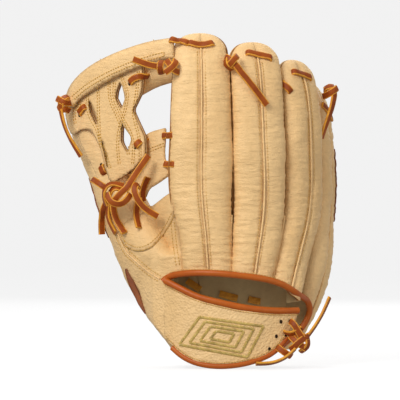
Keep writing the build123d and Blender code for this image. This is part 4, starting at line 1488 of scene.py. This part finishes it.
knot("crotch", "thumb_side", (-104.0, 4.0, 82.0), (
    # wide outer loop, seen half on its raw edge
    (((-8.5, 3, -8.0), (-11.8, -0.5, 0.0), (-8.8, -1.2, 9.4), (-1.0, -1.0, 11.6), (6.5, 0.5, 9.0)),
     ((-0.9, -0.5, -0.2), (-0.6, -0.3, 0.75), (0.2, -0.5, 0.85), (0.5, -0.8, 0.5))),
    # inner loop under the long tail
    (((-5.4, 2, 2.4), (-3.4, -1.4, 7.0), (2.6, -1.6, 7.6), (6.2, 1.0, 4.6)),
     ((-0.7, -0.6, 0.3), (0, -0.7, 0.7), (0.5, -0.7, 0.4))),
    # band that wraps the front, from under the outer loop to the right
    (((-8.0, -1, 3.0), (-6.4, -4.0, -3.6), (1.2, -5.4, -7.6), (9.4, -4.4, -4.2), (12.4, -0.5, 2.0)),
     ((-0.4, -0.9, 0.2), (-0.1, -0.95, -0.25), (0.2, -0.95, -0.25), (0.5, -0.8, 0.1))),
    # foot of the long tail
    (((-3.4, -1, -6.0), (0.6, -3.4, -1.0), (4.4, -3.8, 3.0), (8.6, -2.8, 6.8)), (OUT, OUT, OUT)),
    # lace that comes in from the thumb's edge
    (((-20.8, 14, 14.6), (-18.4, 6.0, 13.4), (-13.4, 0.2, 10.2), (-8.2, 0.6, 6.6)),
     ((-0.3, -0.9, 0.3), (-0.2, -0.95, 0.2), OUT)),
))


SHORT_ENDS = (
    (((-111.5, 76), (-114.3, 70), (-115.4, 60), (-117.4, 48.5)),
        ((-0.4, -0.9, 0.1), (0.55, -0.8, 0.0), (0.3, -0.9, 0))),
    (((-108.5, 77), (-110, 69), (-108.6, 60), (-103, 50.5)),
        ((-0.9, -0.35, 0), (-0.85, -0.4, -0.2), (-0.8, -0.5, -0.3))),
    (((-104.5, 75), (-105, 69), (-101.3, 59.8), (-95, 50.0)),
        ((0.2, -1, 0.1), (0.25, -1, 0.1), (0.3, -0.9, 0.1))),
    (((-82, 83), (-85.5, 76), (-87.4, 65), (-83.6, 54.0)),
        ((-0.5, -0.85, 0), (0.5, -0.85, 0.1), (0.6, -0.8, 0.1))),
    (((-75.0, 98.5), (-78.6, 91.5), (-80.6, 83.5), (-82.5, 76)),
        ((0.35, -0.9, -0.2), (0.45, -0.9, -0.1), (0.3, -0.9, 0))),
)
end_runs = [([p for p, _ in laid(points, 3.0)], ways) for points, ways in SHORT_ENDS]
end_runs.append((
    [(-84.0, 9, 90.0), (-86.6, 2.0, 93.6), (-88.6, -0.6, 87.0), (-84.5, -1.5, 77.5),
        (-77.0, -1.0, 69.5), (-67.8, 0.5, 64.6)],
    ((0.6, -0.5, 0.6), (-0.2, -0.95, 0.2), (-0.1, -1, 0), (0.05, -1, 0.15), (0, -1, 0)),
))
place_on(laces("crotch_lace_ends", end_runs), "thumb_side", "lace_leather")
knot("strap", "strap", (53.0, -12.5, -44.0), (
    (((-6.0, 3, 5.5), (-3.5, -1.6, 2.6), (2.4, -3.0, -2.4), (7.2, -1.0, -5.2)),
     ((-0.2, -0.9, 0.3), OUT, (0.5, -0.8, -0.2))),
    (((-6.0, 3, -6.0), (-3.6, -3.2, -4.6), (1.6, -4.2, 1.2), (7.0, -1.2, 4.6)),
     ((-0.4, -0.9, -0.2), OUT, (0.5, -0.8, 0.2))),
    (((7.6, 2, 6.0), (9.4, -1.6, 0.6), (7.8, -1.2, -5.6), (2.4, 2.0, -8.2)),
     ((0.7, -0.6, 0.4), (0.8, -0.6, 0), (0.6, -0.7, -0.4))),
    # laces that cross the bound edge from the strap's punched holes
    (((-6.2, 3.2, 18.0), (-4.0, -0.6, 17.0), (-0.5, -2.0, 11.0), (4.2, -2.0, 3.8)),
     (OUT, (-0.2, -1, 0), (-0.2, -1, 0))),
    (((-17.5, 2.6, -4.0), (-15.0, -1.2, -6.0), (-9.0, -1.4, -10.2), (-5.6, 3.0, -12.0)),
     (OUT, OUT, (0.2, -0.9, -0.3))),
    (((-11.0, 4.0, 8.6), (-8.4, 0.6, 7.2), (-2.0, -0.8, 8.2), (3.6, 0.5, 12.4)),
     ((-0.2, -0.6, -0.7), (0, -0.6, -0.8), (0.2, -0.6, -0.7))),
    (((3.6, 1.0, 6.0), (5.4, -2.2, 4.6), (9.0, -1.2, 5.0), (9.2, 3.1, 5.5)),
        (OUT, OUT, (0.4, -0.8, 0))),
))

# ---- welting, piping and patches -----------------------------------------------------------------


def stall_line(name, angle, low, high, lift, step=1.5):
    """A line up a stall's back at one angle."""
    z = np.arange(low, high, step)
    a = np.full_like(z, angle)
    return [Vector(p) for p in stall_skin(name, z, a, back_relief(name, z, a) + lift)]


WELTS = (
    ("index", "hand_body"), ("middle", "hand_body"), ("ring", "hand_body"), ("pinky", "pinky_side"),
)
welt_runs = {"hand_body": [], "pinky_side": []}
for name, body in WELTS:
    _, _, _, _, turn, _ = section(name, 100)
    out = (sin(turn), -cos(turn), 0)
    low = float(opening_edge(STALLS[name][0][1])) if body == "hand_body" else -44
    spine = stall_line(name, 270, low, STALLS[name][-1][0] - 13, 0.9)
    welt_runs[body].append((spine, (out, out)))
    if body == "hand_body":
        crease = stall_line(name, 346, low - 2, 66, 0.3)
        welt_runs[body].append((crease, (out, out)))
welting = cord_mesh("finger_seam_welting", welt_runs["hand_body"], 1.7, 2.2, SHELL)
place_on(welting, "hand_body", "welt_leather", "finger_welting")
pinky_welting = cord_mesh("pinky_seam_welting", welt_runs["pinky_side"], 2.0, 2.4, SHELL)
place_on(pinky_welting, "pinky_side", "welt_leather", "pinky_welt")
seam_xz = [(x, z) for x, z in zip(THUMB_SEAM_X[1:-3], THUMB_SEAM_Z[1:-3])]
seam_row = [p for p, _ in laid(flat_nurbs(seam_xz), 0.5)]
thumb_welting = cord_mesh("thumb_seam_welting", [(seam_row, (OUT, OUT))], 1.3, 0.9, SHELL)
place_on(thumb_welting, "thumb_side", "welt_leather", "thumb_welt")


def edge_patch(name, stall, body, slot_node, patches):
    """Plain patches that taper to both ends, sewn on a stall's edge with a dark piping."""
    grids, rims = [], []
    for low, high, middle, spread in patches:
        v, u = np.meshgrid(np.linspace(0, 1, 40), np.linspace(-1, 1, 15), indexing="ij")
        zz = low + v * (high - low)
        aa = middle + u * spread * np.sin(pi * np.clip(v, 0.02, 0.98)) ** 0.6
        if stall == "thumb":
            lift = thumb_lift(zz, aa, stall_skin(stall, zz, aa)) + 0.8
            grid = root_pull(stall_skin(stall, zz, aa, lift), aa)
        else:
            grid = stall_skin(stall, zz, aa, back_lift(stall, zz, aa) + 0.8)
        grids.append(grid)
        loop = [Vector(p) for p in [*grid[:, 0], *grid[::-1, -1], grid[0, 0]]]
        rims.append((even(loop, ROLL_STEP), ((-1, -0.6, 0), (-1, -0.6, 0))))
    made = skin_mesh(name, grids, (-1 if stall == "thumb" else 1, -0.5, 0), (PATCH, PIPING))
    thicken(made, 1.4)
    place_on(made, body, "patch_leather", slot_node)
    place_on(cord_mesh(name + "_piping", rims, 1.2, 1.0, PIPING), body, "patch_leather")


edge_patch("thumb_lens_patches", "thumb", "thumb_side", "thumb_patches",
    ((46, 98, 204, 15), (-20, 18, 250, 12)))
edge_patch("pinky_outer_patch", "pinky", "pinky_side", "pinky_edge_patch", ((60, 124, 312, 30),))

# ---- stitching -----------------------------------------------------------------------------------
WEB_SEAMS = (
    ((-84.9, 191.4), (-85.7, 178.4), (-87.3, 165.4), (-89.8, 155), (-87.3, 145.5), (-84.4, 135),
        (-83, 122), (-83.5, 113)),
    ((-101.3, 189.7), (-94.6, 176), (-94.2, 167), (-98, 152), (-102.6, 139), (-103.4, 122),
        (-101.5, 110)),
    ((-105.7, 182), (-107.6, 169), (-102.2, 158), (-97.6, 148), (-90.4, 136), (-88.6, 122),
        (-90, 110)),
    ((-110.8, 184.5), (-111, 167), (-104.8, 155), (-99.5, 142), (-95, 131), (-93.5, 118)),
    ((-120.4, 177.5), (-120.4, 157), (-119.6, 146), (-119.5, 134), (-114.4, 121), (-109.6, 106)),
    ((-129.4, 172), (-131.2, 165), (-128.4, 152), (-123.8, 145), (-119.6, 136), (-117.6, 124)),
    ((-141, 164), (-143.5, 153), (-141, 146)),
    ((-136.5, 167), (-139.2, 157)),
)
web_rows = [sewn(seam, apart) for seam in WEB_SEAMS for apart in (-0.9, 0.9)]
RAIL_SEAM = ((-142, 167.5), (-134.5, 174), (-126, 179.5), (-110, 188), (-93, 195), (-76, 200.5),
    (-62.5, 203.6))
web_rows += [sewn(RAIL_SEAM, apart) for apart in (0.0, 3.2)]
web_rows.append(sewn(((-62.5, 203), (-62.2, 205.5), (-62.5, 207.5))))
base_rows = [sewn(((-80, 119), (-72, 122.5), (-61.5, 126)), a) for a in (0, 2.4)]
CROTCH_SEAM = (
    (-54.5, 67), (-58.9, 57), (-66.7, 46.6), (-73.6, 39.8), (-80.5, 36.6), (-86.6, 36.2),
    (-92.7, 38.2), (-97.9, 41.6),
    (-102.5, 49),
)
CROTCH_DROP = ((-54.6, 60), (-53.6, 46), (-52.0, 34), (-50.2, 22))
thumb_rows = [sewn(CROTCH_SEAM, a) for a in (-1.4, 1.6)]
thumb_rows += [sewn(CROTCH_DROP, a) for a in (-1.6, 1.4)]
thumb_rows += [sewn(seam_xz, a) for a in (-2.6, 2.6)]
sew("web_stitching", "thumb_side", web_rows, 2.7, 1.4, 0.8, skin=SKIN_TREE)
sew("base_strap_stitching", "thumb_side", base_rows)
sew("thumb_stitching", "thumb_side", thumb_rows, 2.7, 1.4, 0.7)
hand_rows = []
for name in ("index", "middle", "ring"):
    for angle in (264.2, 275.8):
        line = stall_line(name, angle, 22, STALLS[name][-1][0] - 15, 0.5, 3.0)
        _, _, _, _, turn, _ = section(name, 100)
        hand_rows.append([(p, Vector((sin(turn), -cos(turn), 0))) for p in line])
hand_rows.append([(p + Vector((0, -1.0, 3.2)),
    Vector((0, -1, 0.4))) for p in arch[::3] if p.x > -60])
sew("finger_stitching", "hand_body", hand_rows, 2.6, 1.6, 0.5)

# Embroidery: nested slanted lozenges in satin stitch
FIELD = (Vector((-49, -46)), Vector((-31.5, -22)), Vector((23.5, -30)), Vector((9.5, -56.5)))
FIELD_MIDDLE = sum(FIELD, Vector((0, 0))) / 4
strap_rows = []
for share in (1.0, 0.76, 0.52, 0.28):
    outline = [FIELD_MIDDLE + (corner - FIELD_MIDDLE) * share for corner in FIELD]
    for a, b in zip(outline, outline[1:] + outline[:1]):
        strap_rows.append(laid([tuple(a.lerp(b, u)) for u in np.linspace(0, 1, 20)], 0.3))
sew(
    "strap_embroidery", "strap", strap_rows, 0.75, 2.1, 0.7, BRIGHT_THREAD, True,
    nodes=("strap_badge",),
)
edge_rows = [
    [
        (STRAP_WALL(x, z, LEATHER + 0.3), Vector(BACK_WAY))
        for x, z in offset_row(flat_nurbs(line), apart)
    ]
    for line, apart in ((STRAP_TOP, -2.0), (STRAP_LOW[2:], -2.4))
]
sew("strap_edge_stitching", "strap", edge_rows, 2.2, 1.5, 0.6)

# Punched holes, drawn as discs of painted shade
HOLE_SPOTS = {
    "strap": ((38.6, -26.3), (34.6, -38.7), (28.6, -49.7), (46.4, -26), (43.0, -37.5)),
    "thumb_side": ((-92.5, 180.2), (-87.6, 124.6), (-137.4, 153.6), (-117.9, 109.6)),
}


HOLE_RADIUS = 1.35


def holes(name, spots, body):
    """Punched holes drawn as dark discs laid on the skins: painted shade of each hole's inside."""
    bm = bmesh.new()
    for x, z in spots:
        spot, way = laid(((x, z),), 0.35)[0]
        turn = way.to_track_quat("Z", "Y").to_matrix()
        oval = [
            Vector((HOLE_RADIUS * cos(i * pi / 8), HOLE_RADIUS * 1.25 * sin(i * pi / 8), 0))
            for i in range(16)
        ]
        ring = [bm.verts.new((spot + turn @ p) * MM) for p in oval]
        sunk = bm.verts.new((spot - way * 0.1) * MM)
        for a, b in zip(ring, ring[1:] + ring[:1]):
            bm.faces.new((a, b, sunk))
    mesh = bpy.data.meshes.new(name)
    bm.to_mesh(mesh)
    bm.free()
    place_on(new_object(name, mesh, (HOLE_SHADE,)), body, "shell_leather")


for body, spots in HOLE_SPOTS.items():
    holes(f"{body}_punched_holes", spots, body)

# ---- what CAD pieces stay in view, floor and closing ---------------------------------------------
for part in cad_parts.values():  # only the two inner finger loops are still seen
    part.data.materials.clear()
    part.data.materials.append(LINING)

low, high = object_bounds()
floor_z = low.z
FLOOR_RADIUS = 3.7  # metres, as are the cove and the wall round it
COVE = 1.2
WALL = 4.5
profile = [(radius, 0.0) for radius in (0.02, 0.6, 1.4, 2.4, FLOOR_RADIUS)]
profile += [
    (FLOOR_RADIUS + COVE * sin(i * pi / 24), COVE - COVE * cos(i * pi / 24)) for i in range(1, 13)
]
profile += [(FLOOR_RADIUS + COVE, WALL)]
SIDES = 96
verts = [
    (r * cos(k * 2 * pi / SIDES), r * sin(k * 2 * pi / SIDES), floor_z + z)
    for k in range(SIDES) for r, z in profile
]
count = len(profile)
faces = []
for k in range(SIDES):
    a, b = k * count, (k + 1) % SIDES * count
    faces += [(a + i, b + i, b + i + 1, a + i + 1) for i in range(count - 1)]
faces.append([k * count for k in range(SIDES)])
mesh = bpy.data.meshes.new("studio_floor")
mesh.from_pydata(verts, [], faces)
floor = new_object("studio_floor", mesh, (BACKDROP,))
floor.visible_diffuse = False
floor.visible_glossy = False
floor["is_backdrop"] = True

low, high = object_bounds()
